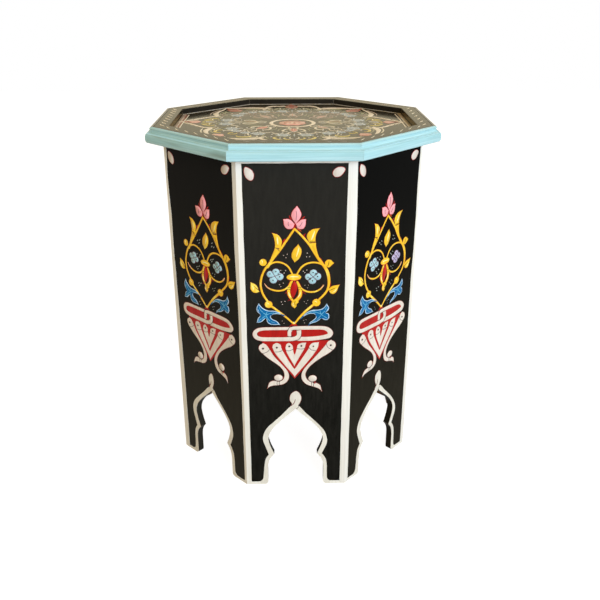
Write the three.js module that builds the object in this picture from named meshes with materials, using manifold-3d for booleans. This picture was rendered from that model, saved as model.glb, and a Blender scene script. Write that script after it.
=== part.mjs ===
// An octagonal painted wooden stool. Eight upright boards, each with a pointed keyhole arch cut in its foot,
// are mitred together at their long edges. The top is an octagonal board with a raised lip of mitred strips,
// and a mitred moulding covers the edge of both. Inside, bevelled battens back the corners, and cleats with
// screws hold the top. Millimetres, +Z up, origin on the floor in the middle of the footprint.
import * as THREE from "three";
import { mergeVertices } from "three/addons/utils/BufferGeometryUtils.js";
import Module from "manifold-3d";

const wasm = await Module();
wasm.setup();

// The eight sides of the octagon, and the clearances
const sides = ["front", "front_right", "right", "back_right", "back", "back_left", "left", "front_left"];
const turn = (2 * Math.PI) / sides.length;
const halfTurn = turn / 2;
const frontDirection = -Math.PI / 2;
const glueLine = 0.3;
const cutOverrun = 2;

// The upright boards
const bodyWidth = 344;
const panelHeight = 480;
const panelThickness = 10;
const bodyApothem = bodyWidth / 2;
const innerApothem = bodyApothem - panelThickness;

// The arch in each upright board
const archSpan = 80;
const archHeight = 128.5;
const archStraight = 28;
const footRounding = 6;
const cuspSpan = 61;
const cuspHeight = 53;
const bellySpan = 77.6;
const bellyHeight = 78;
const lowerCurveShares = { rise: 0.56, inset: 0.42, fall: 0.24 };
const bellyCurveShares = { swell: 0.4, out: 0.96, start: 0.3, end: 0.6 };
const crownCurveShares = { rise: 0.376, inset: 0.412, fall: 0.327 };

// The top board, and the lip strips bedded in a shallow rebate round its rim
const topOverhang = 11;
const boardThickness = 12;
const lipWidth = 19.5;
const lipHeight = 8;
const rebateDepth = 2;
const lipEdgeRounding = 0.8;
const topApothem = bodyApothem + topOverhang;

// The edge moulding, from the top: a flat, a quarter-round bead, a groove, a cove, a fillet and a torus
const mouldingProjection = 11.1;
const mouldingFlat = 2.2;
const beadRadius = 2.7;
const grooveDepth = 0.6;
const grooveHeight = 0.8;
const coveDrop = 4.4;
const coveRun = 3.4;
const filletStep = 0.6;
const torusRun = 2.6;
const mouldingHeight = boardThickness + lipHeight;

// The battens behind the corners
const battenLeg = 20;
const battenDepth = 7;
const battenNose = 2.5;
const battenFoot = 140;
const battenHeadRoom = 0.3;

// The cleats under the top board, each between two battens
const cleatEndRoom = 5;
const cleatDepth = 18;
const cleatChamfer = 4;
const cleatLength = 2 * ((innerApothem - glueLine) * Math.tan(halfTurn) - battenLeg - cleatEndRoom);

// The screws that go up through the cleats into the top board
const screwShank = 3.6;
const screwHead = 7.4;
const screwHeadDepth = 2.6;
const screwBite = 8;
const screwTip = 4;
const screwRecessWidth = 1.1;
const screwRecessSpan = 4;
const screwRecessDepth = 1.4;
const screwClearance = 0.3;
const screwDistance = innerApothem - glueLine - cleatDepth / 2;

// How finely the rounds are divided
const archSteps = 9;
const mouldingSteps = 7;
const easingSteps = 3;
const holeSteps = 12;

const blackPaint = new THREE.MeshStandardMaterial({ color: 0x1a1816, roughness: 0.5, metalness: 0 });
const aquaPaint = new THREE.MeshStandardMaterial({ color: 0x9fd8e0, roughness: 0.45, metalness: 0 });
const bareWood = new THREE.MeshStandardMaterial({ color: 0xb98f5e, roughness: 0.75, metalness: 0 });
const zincSteel = new THREE.MeshStandardMaterial({ color: 0xb9bcc0, roughness: 0.35, metalness: 1 });

// A closed geometry as a solid, for cutting
function solidOf(geometry) {
  const bare = geometry.clone();
  bare.deleteAttribute("normal");
  bare.deleteAttribute("uv");
  const merged = mergeVertices(bare);
  return new wasm.Manifold(
    new wasm.Mesh({
      numProp: 3,
      vertProperties: merged.attributes.position.array,
      triVerts: new Uint32Array(merged.index.array),
    }),
  );
}

// A solid as a geometry again
function geometryOf(solid) {
  const { vertProperties, triVerts } = solid.getMesh();
  const geometry = new THREE.BufferGeometry();
  geometry.setAttribute("position", new THREE.BufferAttribute(vertProperties, 3));
  geometry.setIndex(new THREE.BufferAttribute(triVerts, 1));
  geometry.computeVertexNormals();
  return geometry;
}

function cut(geometry, tools) {
  const left = tools.reduce((solid, tool) => solid.subtract(solidOf(tool)), solidOf(geometry));
  return geometryOf(left);
}

// A bar along one side of the octagon, mitred at both ends. Its section is a list of points, anticlockwise,
// in distance from the stool's axis and height; +X is out from the axis.
function mitredBar(section) {
  const mitreSetback = glueLine / 2 / Math.cos(halfTurn);
  const positions = [];
  for (const end of [-1, 1]) {
    for (const { x: distance, y: height } of section) {
      positions.push(distance, end * (distance * Math.tan(halfTurn) - mitreSetback), height);
    }
  }
  const count = section.length;
  const faces = [];
  for (const [a, b, c] of THREE.ShapeUtils.triangulateShape(section, [])) {
    faces.push(a, b, c, a + count, c + count, b + count);
  }
  for (let i = 0; i < count; i++) {
    const next = (i + 1) % count;
    faces.push(i, i + count, next + count, i, next + count, next);
  }
  const geometry = new THREE.BufferGeometry();
  geometry.setAttribute("position", new THREE.Float32BufferAttribute(positions, 3));
  geometry.setIndex(faces);
  return geometry;
}

// One half of the arch's outline, from its foot up to the crown, drawn on side +1 or -1
function archHalf(side) {
  const foot = archSpan / 2;
  const cusp = cuspSpan / 2;
  const belly = bellySpan / 2;
  const lowerRise = cuspHeight - archStraight;
  const bellyRise = bellyHeight - cuspHeight;
  const crownRise = archHeight - bellyHeight;
  const half = new THREE.Path();
  half.moveTo(side * (foot + footRounding), 0);
  half.quadraticCurveTo(side * foot, 0, side * foot, footRounding);
  half.lineTo(side * foot, archStraight);
  half.bezierCurveTo(
    side * foot, archStraight + lowerCurveShares.rise * lowerRise,
    side * (foot - lowerCurveShares.inset * (foot - cusp)), cuspHeight - lowerCurveShares.fall * lowerRise,
    side * cusp, cuspHeight,
  );
  half.bezierCurveTo(
    side * (cusp + bellyCurveShares.swell * (belly - cusp)), cuspHeight + bellyCurveShares.start * bellyRise,
    side * bellyCurveShares.out * belly, cuspHeight + bellyCurveShares.end * bellyRise,
    side * belly, bellyHeight,
  );
  half.bezierCurveTo(
    side * belly, bellyHeight + crownCurveShares.rise * crownRise,
    side * crownCurveShares.inset * belly, archHeight - crownCurveShares.fall * crownRise,
    0, archHeight,
  );
  return half.getPoints(archSteps);
}

// An upright board: its outline with the arch, given its thickness, then its long edges mitred
function sidePanel() {
  const mitreSetback = glueLine / 2 / Math.cos(halfTurn);
  const outerHalf = bodyApothem * Math.tan(halfTurn) - mitreSetback;
  const innerHalf = innerApothem * Math.tan(halfTurn) - mitreSetback;
  const leftArch = archHalf(-1);
  const rightArch = archHalf(1).reverse().slice(1);
  const corner = (x, y) => new THREE.Vector2(x, y);
  const outline = [
    corner(-outerHalf, 0), ...leftArch, ...rightArch,
    corner(outerHalf, 0), corner(outerHalf, panelHeight), corner(-outerHalf, panelHeight),
  ];
  const thickness = { depth: panelThickness, bevelEnabled: false };
  const board = new THREE.ExtrudeGeometry(new THREE.Shape(outline), thickness);
  const place = board.getAttribute("position");
  const onLongEdge = outerHalf - mitreSetback;
  for (let i = 0; i < place.count; i++) {
    if (Math.abs(place.getX(i)) > onLongEdge && place.getZ(i) === 0) {
      place.setX(i, Math.sign(place.getX(i)) * innerHalf);
    }
  }
  // The outline's x, height and depth become y, z and x, out from the stool's axis.
  board.applyMatrix4(new THREE.Matrix4().makeBasis(
    new THREE.Vector3(0, 1, 0), new THREE.Vector3(0, 0, 1), new THREE.Vector3(1, 0, 0),
  ));
  return board.translate(innerApothem, 0, 0);
}

// The top board: an octagon with the rebate round its rim, and a blind hole in its underside for each screw
function topBoard() {
  const cornerDistance = (apothem) => apothem / Math.cos(halfTurn);
  const rim = cornerDistance(topApothem - glueLine);
  const field = cornerDistance(topApothem - lipWidth - glueLine);
  const face = panelHeight + boardThickness;
  const profile = [
    [0, panelHeight], [rim, panelHeight], [rim, face - rebateDepth],
    [field, face - rebateDepth], [field, face], [0, face],
  ].map(([distance, height]) => new THREE.Vector2(distance, height));
  const board = new THREE.LatheGeometry(profile, sides.length, halfTurn);
  board.rotateX(Math.PI / 2);
  const holes = sides.map((_, i) => {
    const radius = screwShank / 2 + screwClearance;
    const deep = screwBite + screwClearance;
    const hole = new THREE.CylinderGeometry(radius, radius, deep + cutOverrun, holeSteps);
    hole.rotateX(Math.PI / 2);
    hole.translate(screwDistance, 0, panelHeight + deep - (deep + cutOverrun) / 2);
    return hole.rotateZ(frontDirection + i * turn);
  });
  return cut(board, holes);
}

// A strip of the raised lip, its foot in the rebate, with its two upper edges eased
function lipStrip() {
  const inner = topApothem - lipWidth;
  const outer = topApothem - glueLine;
  const face = panelHeight + boardThickness;
  const foot = face - rebateDepth;
  const head = face + lipHeight;
  const section = new THREE.Shape();
  section.moveTo(inner, foot);
  section.lineTo(outer, foot);
  section.lineTo(outer, head - lipEdgeRounding);
  section.quadraticCurveTo(outer, head, outer - lipEdgeRounding, head);
  section.lineTo(inner + lipEdgeRounding, head);
  section.quadraticCurveTo(inner, head, inner, head - lipEdgeRounding);
  return mitredBar(section.getPoints(easingSteps));
}

// The edge moulding's section, drawn upwards from the foot of its flat back
function edgeMoulding() {
  const back = topApothem;
  const foot = panelHeight;
  const head = foot + mouldingHeight;
  const beadFace = back + mouldingFlat + beadRadius;
  const beadFoot = head - beadRadius;
  const grooveFoot = beadFoot - grooveHeight;
  const coveFoot = grooveFoot - coveDrop;
  const coveFace = beadFace - grooveDepth + coveRun;
  const torusHead = coveFace + filletStep;
  const torusFace = back + mouldingProjection;
  const torusMiddle = (coveFoot + foot) / 2;
  const section = new THREE.Shape();
  section.moveTo(back, foot);
  section.lineTo(torusFace - torusRun, foot);
  section.quadraticCurveTo(torusFace, foot, torusFace, torusMiddle);
  section.quadraticCurveTo(torusFace, coveFoot, torusHead, coveFoot);
  section.lineTo(coveFace, coveFoot);
  section.quadraticCurveTo(beadFace - grooveDepth, coveFoot, beadFace - grooveDepth, grooveFoot);
  section.lineTo(beadFace - grooveDepth, beadFoot);
  section.lineTo(beadFace, beadFoot);
  section.quadraticCurveTo(beadFace, head, back + mouldingFlat, head);
  section.lineTo(back, head);
  return mitredBar(section.getPoints(mouldingSteps));
}

// A batten in the angle between two upright boards: its bevelled back touches both, its nose is cut off
function cornerBatten() {
  const seat = innerApothem - glueLine;
  const onFace = (side, along, depth) => {
    const face = new THREE.Vector2(seat - depth, side * (seat * Math.tan(halfTurn) - along));
    return face.rotateAround(new THREE.Vector2(), -side * halfTurn);
  };
  const section = [
    onFace(1, battenNose, 0), onFace(1, battenLeg, 0), onFace(1, battenLeg, battenDepth),
    onFace(-1, battenLeg, battenDepth), onFace(-1, battenLeg, 0), onFace(-1, battenNose, 0),
  ].reverse();
  const length = panelHeight - battenHeadRoom - battenFoot;
  const batten = new THREE.ExtrudeGeometry(new THREE.Shape(section), { depth: length, bevelEnabled: false });
  return batten.translate(0, 0, battenFoot);
}

// A cleat along the head of an upright board, with its countersunk hole
function topCleat() {
  const outer = innerApothem - glueLine;
  const inner = outer - cleatDepth;
  const head = panelHeight;
  const foot = head - cleatDepth;
  const section = new THREE.Shape();
  section.moveTo(inner + cleatChamfer, foot);
  section.lineTo(outer, foot);
  section.lineTo(outer, head);
  section.lineTo(inner, head);
  section.lineTo(inner, foot + cleatChamfer);
  const bar = new THREE.ExtrudeGeometry(section, { depth: cleatLength, bevelEnabled: false });
  bar.translate(0, 0, -cleatLength / 2);
  bar.rotateX(Math.PI / 2);
  const shaft = new THREE.CylinderGeometry(
    screwShank / 2 + screwClearance, screwShank / 2 + screwClearance, cleatDepth + 2 * cutOverrun, holeSteps,
  );
  shaft.rotateX(Math.PI / 2);
  shaft.translate(screwDistance, 0, (head + foot) / 2);
  const slope = (screwHead - screwShank) / 2 / screwHeadDepth;
  const mouth = screwHead / 2 + screwClearance + slope * cutOverrun;
  const sink = new THREE.CylinderGeometry(
    screwShank / 2 + screwClearance, mouth, screwHeadDepth + cutOverrun, holeSteps,
  );
  sink.rotateX(Math.PI / 2);
  sink.translate(screwDistance, 0, foot + screwHeadDepth - (screwHeadDepth + cutOverrun) / 2);
  return cut(bar, [shaft, sink]);
}

// A countersunk screw, head down, its tip in the top board, with a cross recess in the head
function cleatScrew() {
  const foot = panelHeight - cleatDepth;
  const tip = panelHeight + screwBite;
  const profile = [
    [0, foot], [screwHead / 2, foot], [screwShank / 2, foot + screwHeadDepth],
    [screwShank / 2, tip - screwTip], [0, tip],
  ].map(([radius, height]) => new THREE.Vector2(radius, height));
  const screw = new THREE.LatheGeometry(profile, holeSteps);
  const arms = [0, Math.PI / 2].map((angle) => {
    const arm = new THREE.BoxGeometry(screwRecessSpan, screwRecessDepth + cutOverrun, screwRecessWidth);
    arm.translate(0, foot + screwRecessDepth - (screwRecessDepth + cutOverrun) / 2, 0);
    return arm.rotateY(angle);
  });
  const finished = cut(screw, arms);
  return finished.rotateX(Math.PI / 2).translate(screwDistance, 0, 0);
}

// One copy of a piece on each side of the octagon, or in each corner to the left of a side
function ring(group, name, geometry, material, offset = 0) {
  sides.forEach((side, i) => {
    const piece = new THREE.Mesh(geometry, material);
    piece.name = `${name}_${side}`;
    piece.rotation.z = frontDirection + (i + offset) * turn;
    group.add(piece);
  });
}

const body = new THREE.Group();
ring(body, "side_panel", sidePanel(), blackPaint);
ring(body, "corner_batten", cornerBatten(), bareWood, -1 / 2);
ring(body, "top_cleat", topCleat(), bareWood);
ring(body, "cleat_screw", cleatScrew(), zincSteel);

const top = new THREE.Group();
const board = new THREE.Mesh(topBoard(), blackPaint);
board.name = "top_board";
top.add(board);
ring(top, "lip_strip", lipStrip(), blackPaint);
ring(top, "edge_moulding", edgeMoulding(), aquaPaint);

const stool = new THREE.Group();
stool.add(body, top);

export default stool;
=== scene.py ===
"""The finish of an octagonal painted stool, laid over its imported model: paint, ornament, wood, camera, light.

The sections follow the stool as it is put together. Places on a painted face are in millimetres on that face,
to the right and up as one looks at it, and colours are written as they look, from 0 to 255.
"""

import math
import random

import bmesh
import bpy
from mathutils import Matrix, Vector, geometry


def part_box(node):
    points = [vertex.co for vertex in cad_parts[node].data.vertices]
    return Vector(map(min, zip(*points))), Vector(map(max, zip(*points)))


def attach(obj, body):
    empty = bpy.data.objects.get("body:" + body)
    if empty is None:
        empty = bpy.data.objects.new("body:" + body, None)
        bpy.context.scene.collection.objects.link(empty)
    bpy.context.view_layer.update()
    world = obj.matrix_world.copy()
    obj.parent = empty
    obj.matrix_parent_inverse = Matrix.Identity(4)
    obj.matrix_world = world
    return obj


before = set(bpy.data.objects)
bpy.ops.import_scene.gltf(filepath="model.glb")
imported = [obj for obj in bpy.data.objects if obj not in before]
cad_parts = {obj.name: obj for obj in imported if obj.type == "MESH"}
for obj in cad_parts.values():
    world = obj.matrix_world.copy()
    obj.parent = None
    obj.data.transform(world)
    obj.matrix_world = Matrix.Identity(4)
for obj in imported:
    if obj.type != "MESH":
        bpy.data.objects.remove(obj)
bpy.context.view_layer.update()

MM = 0.001
BODY = "root"
SIDES = ["front", "front_right", "right", "back_right", "back", "back_left", "left", "front_left"]
TURN = math.tau / len(SIDES)
FRONT_BEARING = -math.pi / 2


# Camera
# It stands a metre in front of the stool at standing height and looks down at the middle of the front board.
CAMERA_PLACE = Vector((-12.7, -1025.3, 671.0))
CAMERA_DOWN, CAMERA_RIGHT = math.radians(23.83), math.radians(1.27)
CAMERA_LENS, CAMERA_SENSOR = 43.03, 36.0


def placed(name, data, place=(0, 0, 0), turned=(0, 0, 0)):
    """A new object in the scene, at a place in metres."""
    made = bpy.data.objects.new(name, data)
    made.location = place
    made.rotation_euler = turned
    bpy.context.scene.collection.objects.link(made)
    return made


camera_data = bpy.data.cameras.new("camera")
camera_data.lens = CAMERA_LENS
camera_data.sensor_width = CAMERA_SENSOR
camera_data.sensor_fit = "HORIZONTAL"
looking = (math.radians(90) - CAMERA_DOWN, 0, -CAMERA_RIGHT)
bpy.context.scene.camera = placed("camera", camera_data, CAMERA_PLACE * MM, looking)
bpy.context.scene.view_settings.view_transform = "Standard"


# Room
# A white sweep: floor and walls show white and the floor keeps a faint shadow. The light that fills the room is
# warm in front of the stool, where lamps are on, and plain daylight behind it.
HALF_FLOOR = 4.0
FLOOR_GLOW, FLOOR_COLOUR = 0.95, 0.30
WHITE = (1, 1, 1, 1)
ROOM_IN_FRONT = (0.63, 0.42, 0.13, 1)
ROOM_BEHIND = (0.80, 0.78, 0.74, 1)


def shade(red, green, blue):
    """A colour as it looks, from 0 to 255, as the light values that shaders take."""
    def light(value):
        share = value / 255
        return share / 12.92 if share <= 0.04045 else ((share + 0.055) / 1.055) ** 2.4

    return (light(red), light(green), light(blue), 1.0)


def feed(tree, socket, value):
    """Sets an input to a value, or links it to the output that feeds it."""
    if isinstance(value, bpy.types.NodeSocket):
        tree.links.new(value, socket)
    else:
        socket.default_value = value


def put(tree, kind, sockets=None, **settings):
    """Adds a shader node. sockets maps an input's name or number to a value or to the output that feeds it."""
    made = tree.nodes.new(kind)
    for name, value in settings.items():
        setattr(made, name, value)
    for name, value in (sockets or {}).items():
        feed(tree, made.inputs[name], value)
    return made


def math_of(tree, operation, first, second=0.0, third=0.0, clamp=False):
    made = put(tree, "ShaderNodeMath", {0: first, 1: second, 2: third}, operation=operation, use_clamp=clamp)
    return made.outputs[0]


def blend_colour(tree, factor, first, second):
    """A mix of two colours. Each is three values as it looks, four light values, or an output that feeds it."""
    made = put(tree, "ShaderNodeMix", data_type="RGBA")
    for name, value in (("Factor_Float", factor), ("A_Color", first), ("B_Color", second)):
        if isinstance(value, tuple) and len(value) == 3:
            value = shade(*value)
        feed(tree, next(socket for socket in made.inputs if socket.identifier == name), value)
    return next(socket for socket in made.outputs if socket.identifier == "Result_Color")


def ramp_of(tree, value, low, high, start=0.0, end=1.0):
    """A value that goes smoothly from start to end while another goes from low to high."""
    sockets = {"Value": value, "From Min": low, "From Max": high, "To Min": start, "To Max": end}
    return put(tree, "ShaderNodeMapRange", sockets, interpolation_type="SMOOTHSTEP").outputs[0]


def seen_directly(tree):
    """1 for rays from the camera or off a mirror, and 0 for those that carry light to the stool."""
    path = put(tree, "ShaderNodeLightPath").outputs
    seen = math_of(tree, "ADD", path["Is Camera Ray"], path["Is Glossy Ray"])
    return math_of(tree, "ADD", seen, path["Is Transmission Ray"])


def empty_material(name):
    material = bpy.data.materials.new(name)
    material.use_nodes = True
    material.node_tree.nodes.clear()
    return material, material.node_tree


floor_mesh = bpy.data.meshes.new("floor")
floor_corners = [(x * HALF_FLOOR, y * HALF_FLOOR, 0) for x, y in ((-1, -1), (1, -1), (1, 1), (-1, 1))]
floor_mesh.from_pydata(floor_corners, [], [(0, 1, 2, 3)])
placed("floor", floor_mesh)
floor_material, tree = empty_material("white_floor")
strength = math_of(tree, "MULTIPLY", seen_directly(tree), FLOOR_GLOW)
glow = put(tree, "ShaderNodeEmission", {"Color": WHITE, "Strength": strength})
paper = put(tree, "ShaderNodeBsdfDiffuse", {"Color": (FLOOR_COLOUR, FLOOR_COLOUR, FLOOR_COLOUR, 1)})
both = put(tree, "ShaderNodeAddShader", {0: glow.outputs[0], 1: paper.outputs[0]})
put(tree, "ShaderNodeOutputMaterial", {"Surface": both.outputs[0]})
floor_mesh.materials.append(floor_material)

world = bpy.data.worlds.new("room")
bpy.context.scene.world = world
world.use_nodes = True
tree = world.node_tree
tree.nodes.clear()
direction = put(tree, "ShaderNodeTexCoord").outputs["Generated"]
depth = put(tree, "ShaderNodeSeparateXYZ", {0: direction}).outputs["Y"]
room = blend_colour(tree, ramp_of(tree, depth, -0.15, 0.45), ROOM_IN_FRONT, ROOM_BEHIND)
light = put(tree, "ShaderNodeBackground", {"Color": room})
white = put(tree, "ShaderNodeBackground", {"Color": WHITE})
shown = put(tree, "ShaderNodeMixShader", {0: seen_directly(tree), 1: light.outputs[0], 2: white.outputs[0]})
put(tree, "ShaderNodeOutputWorld", {"Surface": shown.outputs[0]})


# Lamp
# One wide, low window of cool daylight in front and to the right, so that the left boards fall into warm shade.
LAMP_PLACE, LAMP_AIM = Vector((1.35, -2.8, 1.15)), Vector((0, 0, 0.27))
LAMP_SIZE, LAMP_POWER, LAMP_COLOUR = (1.6, 1.4), 103, (0.69, 0.83, 1.0)

lamp = bpy.data.lights.new("window", "AREA")
lamp.shape = "RECTANGLE"
lamp.size, lamp.size_y = LAMP_SIZE
lamp.energy, lamp.color = LAMP_POWER, LAMP_COLOUR
placed("window", lamp, LAMP_PLACE, (LAMP_AIM - LAMP_PLACE).to_track_quat("-Z", "Y").to_euler())


# Side boards
# Eight wooden boards, 10 mm thick, with the arch sawn out of the foot and the long edges mitred. The outside
# and the sawn edges are brushed with black paint along the grain, and the inside is left bare.
FLOAT, VECTOR = "NodeSocketFloat", "NodeSocketVector"
BLACK_GLOSS = 0.015


def group_of(name, **inputs):
    """An empty shader node group with an input for each value, and the outputs of the node that holds them."""
    group = bpy.data.node_groups.new(name, "ShaderNodeTree")
    for title, value in inputs.items():
        kind = VECTOR if isinstance(value, tuple) else FLOAT
        group.interface.new_socket(name=title, in_out="INPUT", socket_type=kind).default_value = value
    return group, group.nodes.new("NodeGroupInput").outputs


def end_group(group, **outputs):
    """Gives a group its outputs, each fed by a value or a vector inside it."""
    for title, source in outputs.items():
        kind = VECTOR if source.type == "VECTOR" else FLOAT
        group.interface.new_socket(name=title, in_out="OUTPUT", socket_type=kind)
    ends = group.nodes.new("NodeGroupOutput").inputs
    for title, source in outputs.items():
        group.links.new(source, ends[title])


def grouped(tree, group, **inputs):
    """The outputs of a group that is put into a tree."""
    return put(tree, "ShaderNodeGroup", inputs, node_tree=group).outputs


def room_place(tree):
    return put(tree, "ShaderNodeTexCoord").outputs["Object"]


def facing_of(tree):
    return put(tree, "ShaderNodeNewGeometry").outputs["Normal"]


def vector_math(tree, operation, first, second=(0, 0, 0)):
    return put(tree, "ShaderNodeVectorMath", {0: first, 1: second}, operation=operation).outputs


def noise_of(tree, place, scale, detail, roughness=0.5):
    sockets = {"Vector": place, "Scale": scale, "Detail": detail, "Roughness": roughness}
    return put(tree, "ShaderNodeTexNoise", sockets).outputs[0]


# A place on the stool as seen from the nearest side: outward, along that side, and up
side_frame, given = group_of("side_frame")
place = room_place(side_frame)
apart = put(side_frame, "ShaderNodeSeparateXYZ", {0: place}).outputs
bearing = math_of(side_frame, "ARCTAN2", apart["Y"], apart["X"])
nearest = math_of(side_frame, "ROUND", math_of(side_frame, "DIVIDE", bearing, TURN))
angle = math_of(side_frame, "MULTIPLY", nearest, -TURN)
turned = put(side_frame, "ShaderNodeVectorRotate", {"Vector": place, "Angle": angle}, rotation_type="Z_AXIS")
end_group(side_frame, Place=turned.outputs[0])

# Marks that a bristle brush leaves: long streaks where the stretch is small, the ridges between them, and pools
brush_marks, given = group_of("brush_marks", Place=(0, 0, 0), Stretch=(900, 900, 30), Contrast=1.0)
drawn_out = vector_math(brush_marks, "MULTIPLY", given["Place"], given["Stretch"])[0]
bristles = noise_of(brush_marks, drawn_out, 1.0, 6.0, 0.7)
broad = noise_of(brush_marks, drawn_out, 0.16, 3.0, 0.6)
centred = math_of(brush_marks, "MULTIPLY_ADD", math_of(brush_marks, "ADD", bristles, broad), 2.2, -1.7)
streaks = math_of(brush_marks, "MULTIPLY", centred, given["Contrast"], clamp=True)
pools = ramp_of(brush_marks, noise_of(brush_marks, drawn_out, 0.45, 2.0), 0.52, 0.68)
end_group(brush_marks, Streaks=streaks, Ridges=bristles, Pools=pools)

# Where paint is rubbed off an edge or a corner, in broken patches
rubbed_edge, given = group_of("rubbed_edge", Width=0.0015, Amount=0.5)
rounded = put(rubbed_edge, "ShaderNodeBevel", {"Radius": given["Width"]}, samples=4).outputs[0]
flat = vector_math(rubbed_edge, "DOT_PRODUCT", facing_of(rubbed_edge), rounded)["Value"]
edge = math_of(rubbed_edge, "MULTIPLY_ADD", flat, -9.0, 9.0)
patches = noise_of(rubbed_edge, room_place(rubbed_edge), 260.0, 5.0, 0.75)
kept = math_of(rubbed_edge, "SUBTRACT", 1.0, given["Amount"])
bare = math_of(rubbed_edge, "SUBTRACT", math_of(rubbed_edge, "MULTIPLY", edge, patches), kept)
end_group(rubbed_edge, Rubbed=math_of(rubbed_edge, "MULTIPLY", bare, 5.0, clamp=True))

# Sawn softwood: annual rings drawn out along the board, and fine fibres
sawn_wood, given = group_of("sawn_wood", Place=(0, 0, 0), Stretch=(60, 60, 3))
drawn_out = vector_math(sawn_wood, "MULTIPLY", given["Place"], given["Stretch"])[0]
sway = math_of(sawn_wood, "MULTIPLY", noise_of(sawn_wood, drawn_out, 0.6, 2.0), 46.0)
fibres = noise_of(sawn_wood, drawn_out, 9.0, 5.0, 0.7)
grain = math_of(sawn_wood, "MULTIPLY_ADD", math_of(sawn_wood, "SINE", sway), 0.28, fibres)
end_group(sawn_wood, Grain=grain, Fibres=fibres)


def close_material(tree, colour, roughness, height, depth, specular):
    """The end of every painted or wooden surface: its shader, with the height as a bump of that depth."""
    bump = put(tree, "ShaderNodeBump", {"Height": height, "Strength": 0.6, "Distance": depth})
    shader = put(tree, "ShaderNodeBsdfPrincipled", {
        "Base Color": colour, "Roughness": roughness, "Normal": bump.outputs[0], "Specular IOR Level": specular,
    })
    put(tree, "ShaderNodeOutputMaterial", {"Surface": shader.outputs[0]})


def bare_wood(tree, place, stretch):
    """The colour and the fibres of wood that was left bare."""
    wood = grouped(tree, sawn_wood, Place=place, Stretch=stretch)
    return blend_colour(tree, wood["Grain"], (196, 158, 112), (138, 96, 58)), wood["Fibres"]


def board_black(name, high, low):
    """Black brushed along the grain, with one colour at the head of a board and another at its foot, which
    paint light and shade on it, and bare wood on the side that faces into the stool."""
    material, tree = empty_material(name)
    place = grouped(tree, side_frame)["Place"]
    level = put(tree, "ShaderNodeSeparateXYZ", {0: place}).outputs["Z"]
    marks = grouped(tree, brush_marks, Place=place, Stretch=(1500, 1500, 260), Contrast=0.8)
    # Painted light and shade: from foot to head the black goes from one colour to the other
    ground = blend_colour(tree, ramp_of(tree, level, 0.06, 0.44), low, high)
    mottle = math_of(tree, "MULTIPLY", marks["Streaks"], 0.35)
    ground = blend_colour(tree, mottle, ground, tuple(value * 1.5 for value in high))
    worn = grouped(tree, rubbed_edge, Width=0.0016, Amount=0.40)["Rubbed"]
    ground = blend_colour(tree, worn, ground, (96, 76, 54))
    outward = vector_math(tree, "MULTIPLY", room_place(tree), (1, 1, 0))[0]
    outward = vector_math(tree, "NORMALIZE", outward)[0]
    facing_out = vector_math(tree, "DOT_PRODUCT", facing_of(tree), outward)["Value"]
    inside = math_of(tree, "LESS_THAN", facing_out, -0.85)
    colour = blend_colour(tree, inside, ground, bare_wood(tree, place, (60, 60, 3))[0])
    rough = math_of(tree, "MULTIPLY_ADD", marks["Streaks"], 0.14, 0.42)
    rough = math_of(tree, "MAXIMUM", rough, math_of(tree, "MULTIPLY", inside, 0.8))
    close_material(tree, colour, rough, marks["Ridges"], 0.00010, BLACK_GLOSS)
    return material


def dress(node_name, material):
    """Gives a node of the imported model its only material."""
    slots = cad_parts[node_name].data.materials
    slots.clear()
    slots.append(material)


# Each of the three boards in front has its own head and foot colours, lit and shaded copies of one black:
# painted light and shade. The other boards share one black, painted darker at the head.
BOARD_BLACKS = {
    "front": board_black("board_black_front", (36, 35, 32), (16, 16, 13)),
    "front_left": board_black("board_black_left", (23, 22, 20), (48, 46, 39)),
    "front_right": board_black("board_black_right", (7, 7, 6), (38, 35, 27)),
}
black_with_painted_shade = board_black("board_black", (20, 20, 18), (36, 34, 29))
for side in SIDES:
    dress(f"side_panel_{side}", BOARD_BLACKS.get(side, black_with_painted_shade))


# Edge stripes and arch bands
# White paint brushed freehand along both long edges of every board, round the arch and along the feet. The
# stripes of two neighbouring boards meet on the corner, so that they read as one broad white line.
# The heights at which paint lies on the face, and how far its foot sinks in. A few hundredths more or less
# part two paints that overlap.
UNDER, MAIN, OVER, LINE = 0.12, 0.22, 0.32, 0.50
SUNK = 0.06
# The length of a smooth line's steps, and how far a shape's head is eased in, its outline trimmed and, near
# a tip, its growth tapered off
STEP = 1.5
EASED, TRIMMED, TAPER = 0.25, 0.35, 2.5
# How wide an edge shows round a shape, and half the width of the thinnest stroke
OUTLINE, HAIR = 0.35, 0.06
# A stroke's section, across and up (None is its foot), and the angles of the stations in its round ends
CROWN = ((-1, None), (-0.8, 0.82), (0, 1), (0.8, 0.82), (1, None))
CAP_ANGLES = (0.45, 0.85, 1.2, 1.5)
DOT_SIDES = 12
WELD = 1e-7
SHARPEST = math.radians(50)


def flow(points, closed=False):
    """A smooth line through points of any number of values, the first two of them a place on the face."""
    if len(points) == 2:
        points = [points[0], tuple((a + b) / 2 for a, b in zip(*points)), points[1]]
    count = len(points)
    line = []
    for i in range(count if closed else count - 1):
        near = [(i + k) % count if closed else min(max(i + k, 0), count - 1) for k in (-1, 0, 1, 2)]
        before, start, end, after = (points[index] for index in near)
        steps = max(2, math.ceil(math.dist(start[:2], end[:2]) / STEP))
        for step in range(steps):
            t = step / steps
            line.append(tuple(
                (2 * b + (c - a) * t + (2 * a - 5 * b + 4 * c - d) * t**2 + (3 * b - a - 3 * c + d) * t**3) / 2
                for a, b, c, d in zip(before, start, end, after)
            ))
    if not closed:
        line.append(tuple(points[-1]))
    return line


def normals_of(line, closed):
    """The unit normal, to the left of the way, at each point of a line."""
    last = len(line) - 1
    found = []
    for i in range(last + 1):
        before, after = (i - 1, i - last) if closed else (max(i - 1, 0), min(i + 1, last))
        dx, dy = line[after][0] - line[before][0], line[after][1] - line[before][1]
        length = math.hypot(dx, dy) or 1.0
        found.append((-dy / length, dx / length))
    return found


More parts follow.
